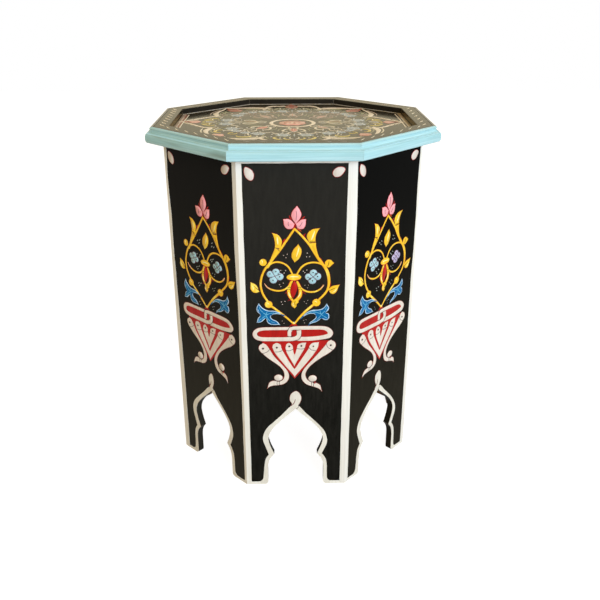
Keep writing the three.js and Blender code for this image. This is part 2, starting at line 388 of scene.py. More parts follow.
def grown(outline, by, tips=()):
    """An outline moved outwards by a distance, or inwards where it is negative, and less so near its tips."""
    area = sum(a[0] * b[1] - b[0] * a[1] for a, b in zip(outline, outline[1:] + outline[:1])) / 2
    way = -by if area > 0 else by
    moved = []
    for point, normal in zip(outline, normals_of(outline, True)):
        near = min((math.dist(point[:2], tip[:2]) for tip in tips), default=TAPER)
        share = min(near / TAPER, 1.0)
        moved.append((point[0] + normal[0] * way * share, point[1] + normal[1] * way * share))
    return moved


def joined(curves):
    """The outline made of smooth curves, and its corners. Each curve starts where the one before it ends, and
    the first where the last one ends. A curve on its own closes smoothly."""
    if len(curves) == 1:
        return flow(curves[0], closed=True), ()
    corners = [curve[-1] for curve in (curves[-1], *curves[:-1])]
    outline = []
    for corner, curve in zip(corners, curves):
        outline += flow([corner, *curve])[:-1]
    return outline, corners


def capped(stations, end, way):
    """The stations of a half-round cap beyond one end of a stroke."""
    x, y, half, normal = stations[end]
    cap = []
    for angle in CAP_ANGLES:
        reach = way * half * math.sin(angle)
        cap.append((x + normal[1] * reach, y - normal[0] * reach, half * math.cos(angle), normal))
    return cap


def at_level(table, level, column=1):
    """The value at a level, from rows that each begin with their level, straight between rows."""
    if level <= table[0][0]:
        return table[0][column]
    for low, high in zip(table, table[1:]):
        if level <= high[0]:
            share = (level - low[0]) / (high[0] - low[0])
            return low[column] + (high[column] - low[column]) * share
    return table[-1][column]


class PaintedFace:
    """A flat face and the shapes brushed on it. place turns a point on the face and a height into a place in
    the room. hand is how far the painter strays from the pattern, in millimetres, and 0 holds still. drift
    has rows of level, right and up: how far this face's shapes lie from the pattern's."""

    def __init__(self, name, place, hand):
        self.name, self.place, self.hand = name, place, hand
        self.drift = ((0, 0, 0),)
        self.points, self.faces, self.paints = [], [], []
        chance = random.Random(name)
        self.chance = chance
        self.sway = [
            (chance.uniform(0.5, 1), chance.uniform(0.02, 0.05), chance.uniform(0, math.tau)) for _ in range(4)
        ]

    def strayed(self, x, y):
        if not self.hand:
            return x, y
        waves = [
            size * self.hand * math.sin(rate * way + start)
            for (size, rate, start), way in zip(self.sway, (x, y, x, y))
        ]
        right, up = at_level(self.drift, y, 1), at_level(self.drift, y, 2)
        return x + waves[0] + waves[1] + right, y + waves[2] + waves[3] + up

    def add(self, rings, caps, paint):
        """Rings of places with heights, joined in order, and the flat faces that close them."""
        start = len(self.points)
        width = len(rings[0])
        for ring in rings:
            for x, y, height in ring:
                self.points.append(self.place(*self.strayed(x, y), height))
        for row in range(len(rings) - 1):
            low, high = start + row * width, start + (row + 1) * width
            for i in range(width):
                following = (i + 1) % width
                self.faces.append((low + i, low + following, high + following, high + i))
                self.paints.append(paint)
        for row, corners in caps:
            self.faces.append(tuple(start + row * width + corner for corner in corners))
            self.paints.append(paint)

    def slab(self, foot, head, paint):
        """A flat shape between two outlines."""
        triangles = geometry.tessellate_polygon([[Vector((x, y, 0)) for x, y, _ in head]])
        caps = [(1, corners) for corners in triangles] + [(0, corners[::-1]) for corners in triangles]
        self.add([foot, head], caps, paint)

    def solid(self, outline, paint, height, tips=()):
        head = [(x, y, height) for x, y in grown(outline, -EASED, tips)]
        self.slab([(x, y, -SUNK) for x, y in outline], head, paint)

    def patch(self, curves, paint, height=MAIN, edge=None, edge_width=OUTLINE):
        """A filled shape inside curves that are joined."""
        outline, tips = joined(curves)
        outline = grown(outline, -TRIMMED, tips)
        if edge:
            self.solid(grown(outline, edge_width), edge, UNDER, tips)
        self.solid(outline, paint, height, tips)

    def dot(self, x, y, radius, paint, height=MAIN, edge=None, edge_width=OUTLINE, tall=1.0):
        outline = [(x + px, y + tall * py) for px, py in circle_of(radius, DOT_SIDES)]
        if edge:
            self.solid(grown(outline, edge_width), edge, UNDER)
        self.solid(outline, paint, height)

    def stroke(self, points, paint, height=MAIN, closed=False, edge=None, edge_width=OUTLINE, blunt=True):
        """A brush stroke through points of (right, up, width), crowned across, with round ends if blunt."""
        line = flow(points, closed)
        if edge:
            self.ribbon([(x, y, w + 2 * edge_width) for x, y, w in line], edge, UNDER, closed, blunt)
        self.ribbon(line, paint, height, closed, blunt)

    def strokes(self, paths, paint, height=MAIN, **edging):
        for points in paths:
            self.stroke(points, paint, height, **edging)

    def lines(self, paths, width, paint, height):
        """Strokes of one width through places."""
        self.strokes(([(x, y, width) for x, y in path] for path in paths), paint, height)

    def ribbon(self, line, paint, height, closed, blunt):
        stations = [(x, y, w / 2, n) for (x, y, w), n in zip(line, normals_of(line, closed))]
        if blunt and not closed:
            stations = capped(stations, 0, -1)[::-1] + stations + capped(stations, -1, 1)
        rings = []
        for x, y, half, (nx, ny) in stations:
            half = max(half, HAIR)
            rings.append([
                (x + nx * half * across, y + ny * half * across, -SUNK if up is None else height * up)
                for across, up in CROWN
            ])
        if closed:
            rings.append(rings[0])
            self.add(rings, [], paint)
        else:
            self.add(rings, [(0, (4, 3, 2, 1, 0)), (len(rings) - 1, (0, 1, 2, 3, 4))], paint)

    def made(self, slot):
        """The shapes as one piece, each paint a material of its own."""
        mesh = bpy.data.meshes.new(self.name)
        mesh.from_pydata([Vector(point) * MM for point in self.points], [], self.faces)
        names = sorted(set(self.paints))
        for name in names:
            mesh.materials.append(PAINTS[name])
        for polygon, paint in zip(mesh.polygons, self.paints):
            polygon.material_index = names.index(paint)
        shell = bmesh.new()
        shell.from_mesh(mesh)
        bmesh.ops.remove_doubles(shell, verts=shell.verts, dist=WELD)
        bmesh.ops.recalc_face_normals(shell, faces=shell.faces)
        shell.to_mesh(mesh)
        shell.free()
        mesh.shade_smooth()
        mesh.set_sharp_from_angle(angle=SHARPEST)
        piece = placed(self.name, mesh)
        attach(piece, BODY)


def circle_of(radius, count, middle=(0, 0), start=0.0):
    angles = [start + math.tau * k / count for k in range(count)]
    return [(middle[0] + radius * math.cos(a), middle[1] + radius * math.sin(a)) for a in angles]


front_low, front_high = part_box("side_panel_front")
BODY_APOTHEM = -front_low.y / MM
BOARD_HEIGHT = front_high.z / MM
# Between these heights above the face, a stroke goes from its rim's colour to its own
RIM_HEIGHTS = (0.04, 0.19)


def brushed_paint(name, colour, thin, rim=None, pale=None, stretch=(260, 260, 90)):
    """Opaque paint laid on with a small brush: thinner in streaks, paler where it pooled, and mixed with the
    colour under it along the low rim of each stroke."""
    material, tree = empty_material(f"{name}_paint")
    place = grouped(tree, side_frame)["Place"]
    marks = grouped(tree, brush_marks, Place=place, Stretch=stretch, Contrast=0.9)
    mixed = blend_colour(tree, marks["Streaks"], colour, thin)
    if pale:
        mixed = blend_colour(tree, marks["Pools"], mixed, pale)
    if rim:
        outward = put(tree, "ShaderNodeSeparateXYZ", {0: place}).outputs["X"]
        low, high = ((BODY_APOTHEM + height) * MM for height in RIM_HEIGHTS)
        mixed = blend_colour(tree, ramp_of(tree, outward, low, high, 1.0, 0.0), mixed, rim)
    rough = math_of(tree, "MULTIPLY_ADD", marks["Streaks"], 0.12, 0.34)
    close_material(tree, mixed, rough, marks["Ridges"], 0.00012, 0.1)
    return material


# Each paint's colour, the colour of its thin streaks, of its rim and of its pools, and the stretch of its marks
BOARD_PAINTS = {
    "white": ((236, 228, 217), (216, 203, 190), (190, 134, 124)),
    "chalk": ((236, 233, 222), (216, 211, 198), (186, 164, 152)),
    "stripe": ((244, 242, 235), (228, 225, 215), None, None, (420, 420, 12)),
    "red": ((188, 32, 27), (158, 24, 22)),
    "wine": ((128, 30, 28), (90, 22, 22)),
    "ember": ((214, 84, 36), (188, 60, 28)),
    "yellow": ((250, 206, 56), (240, 182, 38), (176, 92, 30), (252, 226, 96)),
    "gleam": ((255, 248, 190), (252, 236, 150)),
    "peach": ((246, 198, 152), (232, 172, 120)),
    "pink": ((255, 184, 188), (244, 160, 168), (206, 100, 108)),
    "blue": ((10, 108, 166), (8, 86, 142), None, (34, 130, 180)),
    "sky": ((180, 218, 226), (158, 198, 210), (96, 110, 130)),
    "pale": ((196, 220, 240), (168, 200, 228)),
    "teal": ((124, 196, 222), (84, 166, 206)),
    "mist": ((176, 184, 176), (146, 152, 148), (92, 90, 86)),
    "lilac": ((204, 196, 222), (178, 168, 204), (110, 96, 122)),
    "plum": ((112, 66, 84), (90, 50, 66)),
    "umber": ((62, 26, 23), (46, 20, 18)),
}
PAINTS = {name: brushed_paint(name, *colours) for name, colours in BOARD_PAINTS.items()}

# How high the paint of the stripes and of the bands lies, and how far a band runs on under a stripe
STRIPE_LEVEL, BAND_LEVEL, STRIPE_LAP = 0.2, 0.17, 1
# The points down a stripe, its room under the top board, the foot of the line there, a foot band's head
STRIPE_ROWS = 24
HEAD_ROOM, TOP_LINE, FOOT_BAND = 0.2, 473.4, 4.6
# How far from a board's middle its left and its right stripe reach, at levels where that was read
STRIPE_REACH = 64.6
STRIPE_REACHES = {
    "front": ([(0, 64.3), (480, 64.3)], [(0, 64.2), (400, 64.4), (480, 65)]),
    "front_left": (
        [(140, 62), (200, 63), (240, 64), (310, 65), (330, 66), (380, 65), (420, 67), (440, 67), (460, 66)],
        [(140, 67), (200, 66.5), (280, 66.5), (300, 66), (320, 65), (370, 63.5), (440, 64.5), (470, 64.5)],
    ),
    "front_right": (
        [(140, 64.5), (290, 64.5), (310, 63), (350, 63), (400, 62.5), (440, 63), (470, 64)],
        [(297, 64.5), (320, 66), (350, 66.5), (380, 66.5), (420, 66), (470, 67)],
    ),
}


def directions(bearing):
    """The unit vectors along a bearing and to its left."""
    return Vector((math.cos(bearing), math.sin(bearing), 0)), Vector((-math.sin(bearing), math.cos(bearing), 0))


def board_face(index):
    """The place in the room of a point on a side board's outside."""
    out, right = directions(FRONT_BEARING + index * TURN)
    return lambda x, y, height: out * (BODY_APOTHEM + height) + right * x + Vector((0, 0, y))


def arch_edge():
    """The sawn edge of the arch, from its left foot to its right foot, as the front board's outside has it."""
    outer = [v.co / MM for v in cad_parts["side_panel_front"].data.vertices]
    edge = {
        (round(p.x, 3), round(p.z, 3)) for p in outer
        if abs(p.y + BODY_APOTHEM) < 0.01 and abs(p.x) < 60 and p.z < 200
    }
    return sorted(edge, key=lambda point: math.atan2(point[1], -point[0]))


ARCH_EDGE = arch_edge()


def long_stripe(face, way, reach, head):
    """A stripe from the corner of the stool inwards. Its inner side was painted by eye."""
    corner = (BODY_APOTHEM + STRIPE_LEVEL) * math.tan(TURN / 2)
    levels = [head * k / STRIPE_ROWS for k in range(STRIPE_ROWS + 1)]
    inner = flow([(way * (at_level(reach, level) + face.chance.uniform(-0.2, 0.2)), level) for level in levels])
    outline = [(way * corner, 0.0), *inner, (way * corner, head)]
    if way > 0:
        outline.reverse()
    foot = [(x, y, -SUNK if abs(x) < corner - 0.01 else 0.0) for x, y in outline]
    face.slab(foot, [(x, y, STRIPE_LEVEL) for x, y in outline], "stripe")


def foot_band(face, inner, outer):
    middle = ((inner + outer) / 2, FOOT_BAND + face.chance.uniform(-0.5, 0.5))
    band = [(inner, 0.0), (outer, 0.0), (outer, FOOT_BAND), middle, (inner, FOOT_BAND + 0.4)]
    face.solid(band, "stripe", BAND_LEVEL, tips=band)


def edge_stripes(face, side):
    """The two long stripes, the bands on the feet, and the line under the top."""
    head = BOARD_HEIGHT - HEAD_ROOM
    reaches = STRIPE_REACHES.get(side) or [
        [(level, STRIPE_REACH + face.chance.uniform(-1.2, 1.2)) for level in range(0, 481, 80)]
        for _ in ("left", "right")
    ]
    for way, reach, inner in zip((-1, 1), reaches, (ARCH_EDGE[0][0], ARCH_EDGE[-1][0])):
        long_stripe(face, way, reach, head)
        foot_band(face, inner, way * (at_level(reach, 0) + STRIPE_LAP))
    left, right = (at_level(reach, head) + STRIPE_LAP for reach in reaches)
    under_top = flow([
        (-left + (left + right) * k / 8, TOP_LINE + face.chance.uniform(-0.3, 0.3)) for k in range(9)
    ])
    face.solid([*under_top, (right, head), (-left, head)], "stripe", BAND_LEVEL)


# The outer side of the band, and the two of its points that are cusps
ARCH_BAND = [
    (-51.5, 0), (-51.5, 4.6), (-47.2, 9.4), (-46, 20), (-45.2, 34), (-43, 45), (-38.6, 52), (-43, 65),
    (-46, 77), (-45, 87), (-40, 97), (-30, 108), (-18, 120), (-8, 131), (-1.5, 134), (5, 133), (15, 121),
    (30, 105), (40, 92), (44.4, 80), (44, 70), (37.6, 53), (42, 46), (44.8, 36), (45.5, 20), (46, 9),
    (49.6, 4.6), (49.6, 0),
]
LEFT_CUSP, RIGHT_CUSP = 6, 21


def arch_band(face):
    """The white band that follows the sawn edge of the arch, its outer side a little uneven."""
    loose = [
        (x + face.chance.uniform(-0.3, 0.3), y + face.chance.uniform(-0.3, 0.3) if y > 5 else y)
        for x, y in ARCH_BAND
    ]
    outer = [
        *flow(loose[:LEFT_CUSP + 1])[:-1], *flow(loose[LEFT_CUSP:RIGHT_CUSP + 1])[:-1],
        *flow(loose[RIGHT_CUSP:]),
    ]
    outline = [*ARCH_EDGE, *((x, max(y, 0.0)) for x, y in reversed(outer))]
    face.slab([(x, y, -SUNK) for x, y in outline], [(x, y, MAIN) for x, y in outline], "chalk")


# Ornament of the side boards
# Freehand folk ornament in bright paints over the black: a link-rimmed bowl, an onion-shaped frame of yellow
# scrolls with blossoms in it, a pink palmette over it, and a knot on the point of the arch.
def corner_petals(face):
    for petal in (
        [(-59.8, 469.3), (-61.6, 463.5), (-59.4, 456), (-54, 452), (-50.2, 454.2), (-49.2, 460.5),
         (-52.6, 466.3)],
        [(45.5, 460.5), (48.6, 456.4), (54.5, 456.8), (59, 461), (61.2, 466), (57.8, 469), (51.5, 468.6),
         (46.8, 465)],
    ):
        face.patch([petal], "white", edge="red", edge_width=0.45)


def palmette(face):
    """Three pink petals, the middle one upright, over red fins."""
    face.strokes([
        [(-7, 408.4, 0.5), (-6.2, 405.6, 1.7), (-4.4, 403, 1.0)],
        [(12, 407.4, 0.5), (10.2, 405.4, 1.7), (7.8, 403, 1.0)],
        [(-3.6, 390.6, 0.8), (-0.6, 393.4, 2.4), (-0.2, 398, 1.4)],
    ], "red", UNDER + 0.02)
    face.stroke([(2.4, 391.4, 0.8), (5.2, 389.8, 1.8), (7.6, 388, 0.7)], "ember", UNDER + 0.02)
    for petal in (
        [[(6.3, 404), (8.2, 410), (6.4, 415.5), (2.6, 420.8)],
         [(-2.6, 415.3), (-5, 409), (-3.4, 403), (1, 397.5)]],
        [[(-4.2, 402), (-9, 404.4), (-14.6, 403.6)],
         [(-14, 396.5), (-11, 391.6), (-6, 390.5), (-2, 392.6), (-0.6, 397.6)]],
        [[(8.6, 403.8), (4.4, 401.3), (1.2, 397.6)],
         [(2.2, 392.6), (6.2, 390.5), (10.8, 391.4), (13.4, 396.6), (13.6, 403.6)]],
    ):
        face.patch(petal, "pink", edge="red", edge_width=0.4)
    face.lines([
        [(1.4, 414), (2, 409), (1.2, 402.5)], [(-8.4, 399.8), (-8.6, 397.4), (-7.6, 394.8)],
        [(8.8, 399.8), (7.6, 397), (5.6, 394.4)],
    ], 0.6, "plum", LINE)


def onion_frame(face):
    """The yellow frame: two arms from the point, two bulges, two balls and the crossed stems below them."""
    for points in (
        [(-0.8, 391, 2.6), (-10, 377, 2.8), (-20, 362, 3.0), (-28, 351.5, 3.2), (-35.2, 340.5, 4.0)],
        [(-35.5, 342, 2.7), (-41.2, 331.5, 2.8), (-44.3, 319, 2.7), (-43.2, 307.5, 2.7), (-39.8, 299, 2.7),
         (-36, 293, 2.6)],
        [(-31, 285.3, 2.9), (-22, 278, 2.7), (-12, 269.3, 2.4), (-5, 262.5, 2.2), (-1.6, 259.3, 1.9)],
        [(-0.6, 391, 2.6), (8, 382.3, 2.7), (18, 370, 3.0), (26, 357, 3.4), (34, 345, 4.4)],
        [(33.5, 345.5, 3.4), (39.6, 337, 4.3), (43, 326.5, 4.0), (43.4, 316, 3.3), (41.4, 307.5, 2.9),
         (37, 301, 2.8), (31.5, 295.3, 2.7)],
        [(22.5, 286.3, 3.3), (13, 277.5, 3.1), (5, 268.3, 2.7), (-1.2, 259.6, 2.0)],
    ):
        face.stroke([(x, y, width + 0.3) for x, y, width in points], "yellow", edge="wine")
    face.strokes([
        [(41.6, 330, 0.6), (45.4, 320, 1.2), (44.6, 312, 1.2), (41, 303.4, 0.6)],
        [(33, 293.6, 0.6), (26, 287, 1.1), (16, 278.4, 0.8)],
    ], "red", UNDER - 0.02)
    for x, y, radius in ((-34.6, 288, 5.2), (27.5, 290.2, 5.4)):
        face.dot(x, y, radius, "yellow", OVER, edge="wine", edge_width=0.5)
        face.stroke([(x - 2.2, y + 2.2, 0.6), (x - 0.6, y + 1.8, 1.2), (x + 0.8, y + 0.4, 0.6)], "gleam", LINE)
    face.stroke([(-3.5, 257.6, 1.6), (-1.4, 258.4, 2.8), (1, 257.8, 1.6)], "red", OVER)
    face.stroke([(-2.4, 262.2, 0.8), (-1.3, 260.2, 1.5), (-0.4, 262.6, 0.8)], "gleam", OVER)


def horns(face):
    """The two horn-shaped leaves that spring from the arms of the frame, each in a collar."""
    face.strokes([
        [(-16, 374, 0.8), (-12.5, 377.4, 2.0), (-17.5, 367, 1.2)],
        [(13, 384.6, 0.8), (11, 382, 2.0), (13.6, 377, 1.2)],
        [(-29.6, 352.6, 0.6), (-31.4, 349.4, 1.6), (-34.4, 345.4, 0.8)],
        [(31.4, 353, 0.6), (33, 350, 1.4), (36.4, 345, 0.8)],
    ], "red", UNDER)
    for collar in (
        [[(-31.3, 352), (-27.6, 361), (-25.6, 366.8)], [(-21.5, 365.4), (-18.2, 362.2)],
         [(-24, 354.5), (-31, 346)], [(-35, 343)]],
        [[(30.8, 353.5), (27.8, 362.5), (26.2, 372.6)], [(22, 373), (18.2, 371.6)],
         [(23, 362.5), (29.5, 350.5)], [(36.5, 343.5)]],
    ):
        face.patch(collar, "yellow", edge="wine")
    for leaf in (
        [[(-25.8, 373.5), (-27, 380), (-29, 386.2)],
         [(-22, 384.2), (-17.2, 378.6), (-16.3, 372.5), (-18.6, 364.4)], [(-25.4, 366.6)]],
        [[(26, 379.5), (27.6, 385.5), (31.2, 392)], [(23, 391.2), (16.6, 387.2), (14.2, 380.5), (17.8, 372.8)],
         [(26, 373.4)]],
    ):
        face.patch(leaf, "yellow", edge="wine", edge_width=0.45)
    face.strokes([
        [(-22.6, 380.5, 0.8), (-22, 376, 2.0), (-21.5, 371, 0.9)],
        [(24.4, 388, 0.9), (22.6, 382.4, 2.2), (20.5, 377, 0.9)],
    ], "gleam", OVER)
    face.lines([
        [(-25.6, 366.6), (-22.4, 364.6), (-19.2, 361.6)], [(18, 373.8), (22, 374.8), (25.5, 374.3)],
    ], 0.6, "umber", LINE)


def seed_and_buds(face):
    """The upright seed in the point of the frame, a bud and a leaf on its shoulders, and a leaf each side."""
    face.patch([
        [(-4.4, 352), (-4.7, 358.5), (-1.8, 365), (3.9, 371)],
        [(8.1, 364.5), (8.1, 357.5), (4.4, 350.3), (-0.6, 346.6)],
    ], "yellow", edge="wine")
    face.stroke([(4.8, 366, 0.8), (3.4, 360.5, 2.2), (1.8, 354.6, 0.9)], "gleam", OVER)
    face.dot(-40.6, 346.6, 4.9, "yellow", OVER, edge="wine")
    for leaf in (
        [[(37.6, 346.4), (41.2, 350.2), (46, 349.4), (49.6, 345)], [(46, 341), (42.6, 338.8), (38.2, 341.5)]],
        [[(-50, 304.2), (-54.6, 305.4), (-57.8, 310), (-57.7, 314.6), (-57.2, 319.6)],
         [(-51.4, 317.2), (-48, 312.6), (-46.2, 306.4)]],
        [[(51, 314.6), (46, 312.8), (42.6, 308.6)],
         [(45, 303.8), (49, 301.8), (53, 304), (55.4, 309), (57.6, 315.4)]],
    ):
        face.patch(leaf, "yellow", OVER, edge="wine", edge_width=0.45)
    face.strokes([
        [(-37, 350.6, 0.6), (-35.6, 346, 0.9), (-37.4, 341.4, 0.6)],
        [(43, 347.4, 0.6), (42.6, 344, 0.8), (41.5, 341, 0.6)],
        [(-52.3, 313.6, 0.5), (-48.6, 309.6, 0.8), (-44.6, 306.6, 0.6)],
        [(52, 310.8, 0.5), (47, 308.4, 0.8), (43.4, 306.4, 0.6)],
    ], "umber", LINE)
    face.strokes([
        [(-42.6, 349.4, 0.6), (-41.4, 348, 1.4), (-42, 345.4, 0.6)],
        [(-55.4, 315, 0.5), (-54, 311.4, 1.5), (-54.4, 308.4, 0.5)],
        [(54, 310, 0.5), (51.6, 306.6, 1.4), (48.6, 304.6, 0.5)],
    ], "gleam", LINE)


def inner_scrolls(face):
    face.strokes([
        [(-34, 342.3, 2.1), (-28, 346, 2.4), (-21.5, 347, 2.5), (-14, 344.7, 2.5), (-8, 339.5, 2.5),
         (-4, 331.5, 2.4)],
        [(-39.3, 317.4, 0.8), (-35.5, 312, 1.7), (-29, 308.5, 2.4), (-22, 307.2, 2.5), (-15, 308.4, 2.6),
         (-9, 312.5, 2.6), (-4, 320, 2.4)],
        [(36, 342.3, 2.3), (30, 345.2, 2.5), (22, 346.2, 2.5), (14, 344.2, 2.6), (7.4, 339, 2.6),
         (2.6, 330.8, 2.4)],
        [(36.4, 314.4, 1.9), (32.5, 309.5, 2.2), (27, 306.2, 2.4), (20.5, 305.3, 2.6), (14, 306.5, 2.6),
         (8, 310.5, 2.6), (3, 318.5, 2.4)],
    ], "yellow", edge="wine", edge_width=0.3)
    face.strokes([
        [(-39.3, 317.4, 0.7), (-36.2, 312.9, 1.3), (-32, 309.7, 1.1)],
        [(36.5, 314.6, 1.6), (34.6, 311.9, 1.5), (32.4, 309.6, 0.7)],
    ], "peach", LINE)


def waist(face):
    """The bead that ties the scrolls, and below it a red seed between two petals that twist together."""
    for barb in (
        [(9.3, 310), (14.2, 301.8), (9, 304.4)], [(-9.6, 311), (-13.4, 303), (-9, 304.6)],
        [(-6.6, 297), (-10.6, 292.4), (-6, 293.4)],
    ):
        face.solid(barb, "wine", UNDER, tips=barb[1:2])
    face.patch([
        [(2.8, 316), (3, 309), (0.4, 301.5), (-2.8, 295.4)], [(-5.6, 302), (-6.2, 309), (-4.6, 316), (-1, 322)],
    ], "red", MAIN, edge="umber")
    face.stroke([
        (-5.2, 319.5, 2.8), (-7.4, 313, 4.0), (-8.4, 306, 4.4), (-7.2, 300, 4.2), (-4.4, 295, 3.2),
        (-2, 291, 2.0),
    ], "yellow", edge="red", edge_width=0.6)
    face.patch([
        [(0, 296.2), (-4.6, 292), (-5.6, 287.5), (-4, 284.2), (-0.8, 282.4)],
        [(1.8, 284.8), (2.2, 288.4), (4.8, 290.8), (3.5, 296)],
    ], "yellow", MAIN, edge="wine")
    face.stroke([
        (2.8, 319.5, 2.8), (5.4, 313, 4.0), (6.8, 306, 4.6), (6, 300, 4.8), (2.8, 295, 4.8), (0.4, 291, 4.4),
    ], "yellow", OVER, edge="red", edge_width=0.6)
    bead = [(9.8 * x - 1.6, 4.9 * y + 326.3) for x, y in circle_of(1.0, 16)]
    face.patch([bead], "yellow", OVER, edge="umber", edge_width=0.5)
    face.strokes([
        [(6.8, 305.5, 0.8), (5.8, 301.5, 1.6), (3.4, 298, 0.8)],
        [(-8.4, 305, 0.8), (-7.6, 301.3, 1.5), (-6, 298.6, 0.8)],
        [(-2.6, 290, 0.6), (-3, 287.4, 1.2), (-1.8, 285.4, 0.5)],
        [(-7, 326.6, 0.9), (-2, 327.2, 1.9), (4.2, 326.6, 0.9)],
    ], "gleam", LINE)
    face.lines([
        [(-9.6, 311.6), (-7.6, 312.6), (-5.4, 311.4)], [(-10.4, 308.8), (-8.2, 309.8), (-6.2, 308.8)],
        [(3.4, 311.4), (5.6, 312.6), (7.8, 311.4)], [(4.6, 308.8), (6.8, 310), (9, 308.6)],
        [(-5.4, 296.5), (-1.6, 297.6), (1.2, 300.4)], [(0.2, 292.6), (-0.6, 289.4), (0.6, 286.6)],
    ], 0.6, "umber", LINE + 0.04)
    face.stroke([(-9.6, 323.6, 0.6), (-2, 321.4, 1.1), (6.4, 323.4, 0.6)], "ember", LINE)


# Each blossom's middle, its petals with their radii, the cross that parts them, and the dots on them
BLOSSOMS = [
    ((-25.8, 328.2), [(-24.5, 333.5, 4.6), (-19.5, 327, 4.8), (-28, 322.5, 4.8), (-32, 330.5, 4.4)],
     [[(-33.4, 324.8), (-16.6, 331.4)], [(-30, 334.6), (-21.4, 320.4)]],
     [(-24.6, 334.2), (-19.4, 326.8), (-28.4, 321.8), (-32.4, 331)]),
    ((23.2, 326.7), [(23.5, 332, 4.6), (28.5, 327, 5.0), (22, 321.5, 5.0), (17, 326.5, 4.4)],
     [[(16.4, 321.6), (29.8, 331.8)], [(17.6, 332), (28, 321.6)]],
     [(23, 332.6), (29, 327), (22.4, 320.8), (16.4, 326)]),
]
BLOSSOM_PAINTS = {"front_right": ("sky", "lilac")}
BLOSSOM_SIZES = {"front_left": 0.84, "front_right": 0.86}


def drawn_in(points, middle, size):
    """Points brought nearer to a middle, to a share of their distance."""
    return [(middle[0] + (x - middle[0]) * size, middle[1] + (y - middle[1]) * size) for x, y in points]


def blossoms(face, paints, size):
    """The two pale blossoms inside the scrolls, of four round petals each, parted by a dark cross."""
    for paint, (middle, petals, cross, dots) in zip(paints, BLOSSOMS):
        places = drawn_in([petal[:2] for petal in petals], middle, size)
        for place, (_, _, radius) in zip(places, petals):
            face.dot(*place, (radius + 0.5) * size, paint, edge="plum", edge_width=0.5)
        face.dot(*middle, 4.4 * size, paint, MAIN + 0.01)
        face.lines([drawn_in(bar, middle, size) for bar in cross], 0.8, "plum", LINE)
        for dot in drawn_in(dots, middle, size):
            face.dot(*dot, 1.0, "umber", LINE)


FLECKS = (
    (-14.5, 356), (-10, 357.5), (-11.5, 353), (15.5, 359), (14.5, 354), (18.5, 354),
    (-18.3, 335.6), (-12.2, 335.5), (-14, 332), (-20, 316), (-15.2, 318), (-18.4, 313.2),
    (10.6, 334.4), (15, 336), (12.4, 332.4), (12.6, 315), (17.3, 315), (16, 311.2),
    (-17.8, 291.5), (-13.2, 292.3), (-16.6, 288), (11.8, 291.6), (16.4, 293.5), (14.4, 289),
    (-17, 264), (-15, 260.5), (11, 264.6), (14, 265.5), (12, 261),
)


def flecks(face, length, slant, paint):
    """The little groups of pale flecks on the black: dots on some boards, dashes on others. They are finer at
    the foot of the frame, and on the right up to the blossom."""
    dx, dy = length / 2 * math.cos(slant), length / 2 * math.sin(slant)
    for x, y in FLECKS:
        width = 1.5 if y > 270 and (x < 0 or y > 320) else 0.9
        dash = [(x - dx, y - dy, 0.7 * width), (x, y, width), (x + dx, y + dy, 0.6 * width)]
        face.stroke(dash, paint, UNDER + 0.04)


LEAF_OUTLINE = 1.2


def acanthus(face):
    """A blue leaf with a pale outline on each side of the stems."""
    for leaf in (
        [[(-20, 276), (-27, 279), (-35, 279.6), (-42, 283), (-47.5, 290)],
         [(-51, 283), (-49.8, 277), (-45, 272.6)], [(-49, 269), (-51, 261.6)],
         [(-45.4, 262), (-41.2, 265), (-38.6, 268.6)],
         [(-37.4, 262.4), (-34, 259), (-27.6, 258), (-19.6, 258.3)],
         [(-24, 264), (-29, 266.5), (-32, 270), (-31, 272.8)], [(-25, 273.8), (-19, 272.8), (-13, 270.8)]],
        [[(10, 272), (15, 276.6), (22, 280), (30, 280.4), (36, 282.4), (41, 289)],
         [(44.4, 283), (43.2, 278.5), (39.4, 275.4)],
         [(43.6, 274.8), (45, 270.6), (44.6, 267.4), (42, 264.6), (38, 264.8), (34.4, 267.6)],
         [(31, 264), (27, 261.6), (21, 259.6), (16.6, 256.4)],
         [(18.6, 261.5), (22, 264.5), (26, 268), (27.2, 271.8)],
         [(24, 273.6), (18, 273.6), (12, 270.6), (6.2, 266.4)]],
    ):
        face.patch(leaf, "pale", UNDER + 0.06)
        outline, tips = joined(leaf)
        face.solid(grown(outline, -LEAF_OUTLINE, tips), "blue", MAIN + 0.06, tips)
    face.lines([
        [(-46.8, 284.4), (-45.6, 280.6), (-43, 277.4)], [(-41.6, 276), (-38.6, 273.6)],
        [(-47.8, 265), (-44.6, 267.2)],
        [(-43, 268.6), (-39.4, 271.4)], [(-38.6, 273.4), (-36.8, 277.6)],
        [(-38.4, 272.2), (-36.4, 268), (-33.6, 264.6)],
        [(-31.6, 263), (-27.4, 261.4)], [(-37.6, 273.2), (-32.6, 275.2), (-28.4, 275.8)],
        [(-26, 275.8), (-20.6, 274.6)],
        [(40.8, 284.2), (39.6, 280.4)], [(38.6, 278), (34.4, 273.4)], [(41.2, 268), (37.6, 270.6)],
        [(36.4, 271.4), (34.2, 272.6)], [(33.6, 273.4), (32.4, 277.6)],
        [(33.2, 271.4), (31, 268.4), (28.2, 265.6)],
        [(26.4, 264.2), (22.6, 262)], [(32.6, 274.2), (27.4, 276.4), (23, 276.8)], [(21, 276.6), (15.8, 274.2)],
    ], 0.9, "teal", OVER + 0.06)
    face.lines([
        [(-48.8, 281), (-47.6, 277.6)], [(-43.6, 264.6), (-41.4, 266.8)], [(-35.6, 261.6), (-33, 260.2)],
        [(-24.6, 277.6), (-18.6, 275.8)], [(42.4, 281), (41.8, 278.4)], [(25.6, 278.6), (20, 278)],
        [(36.6, 267), (39, 266)],
    ], 0.8, "pale", OVER + 0.08)


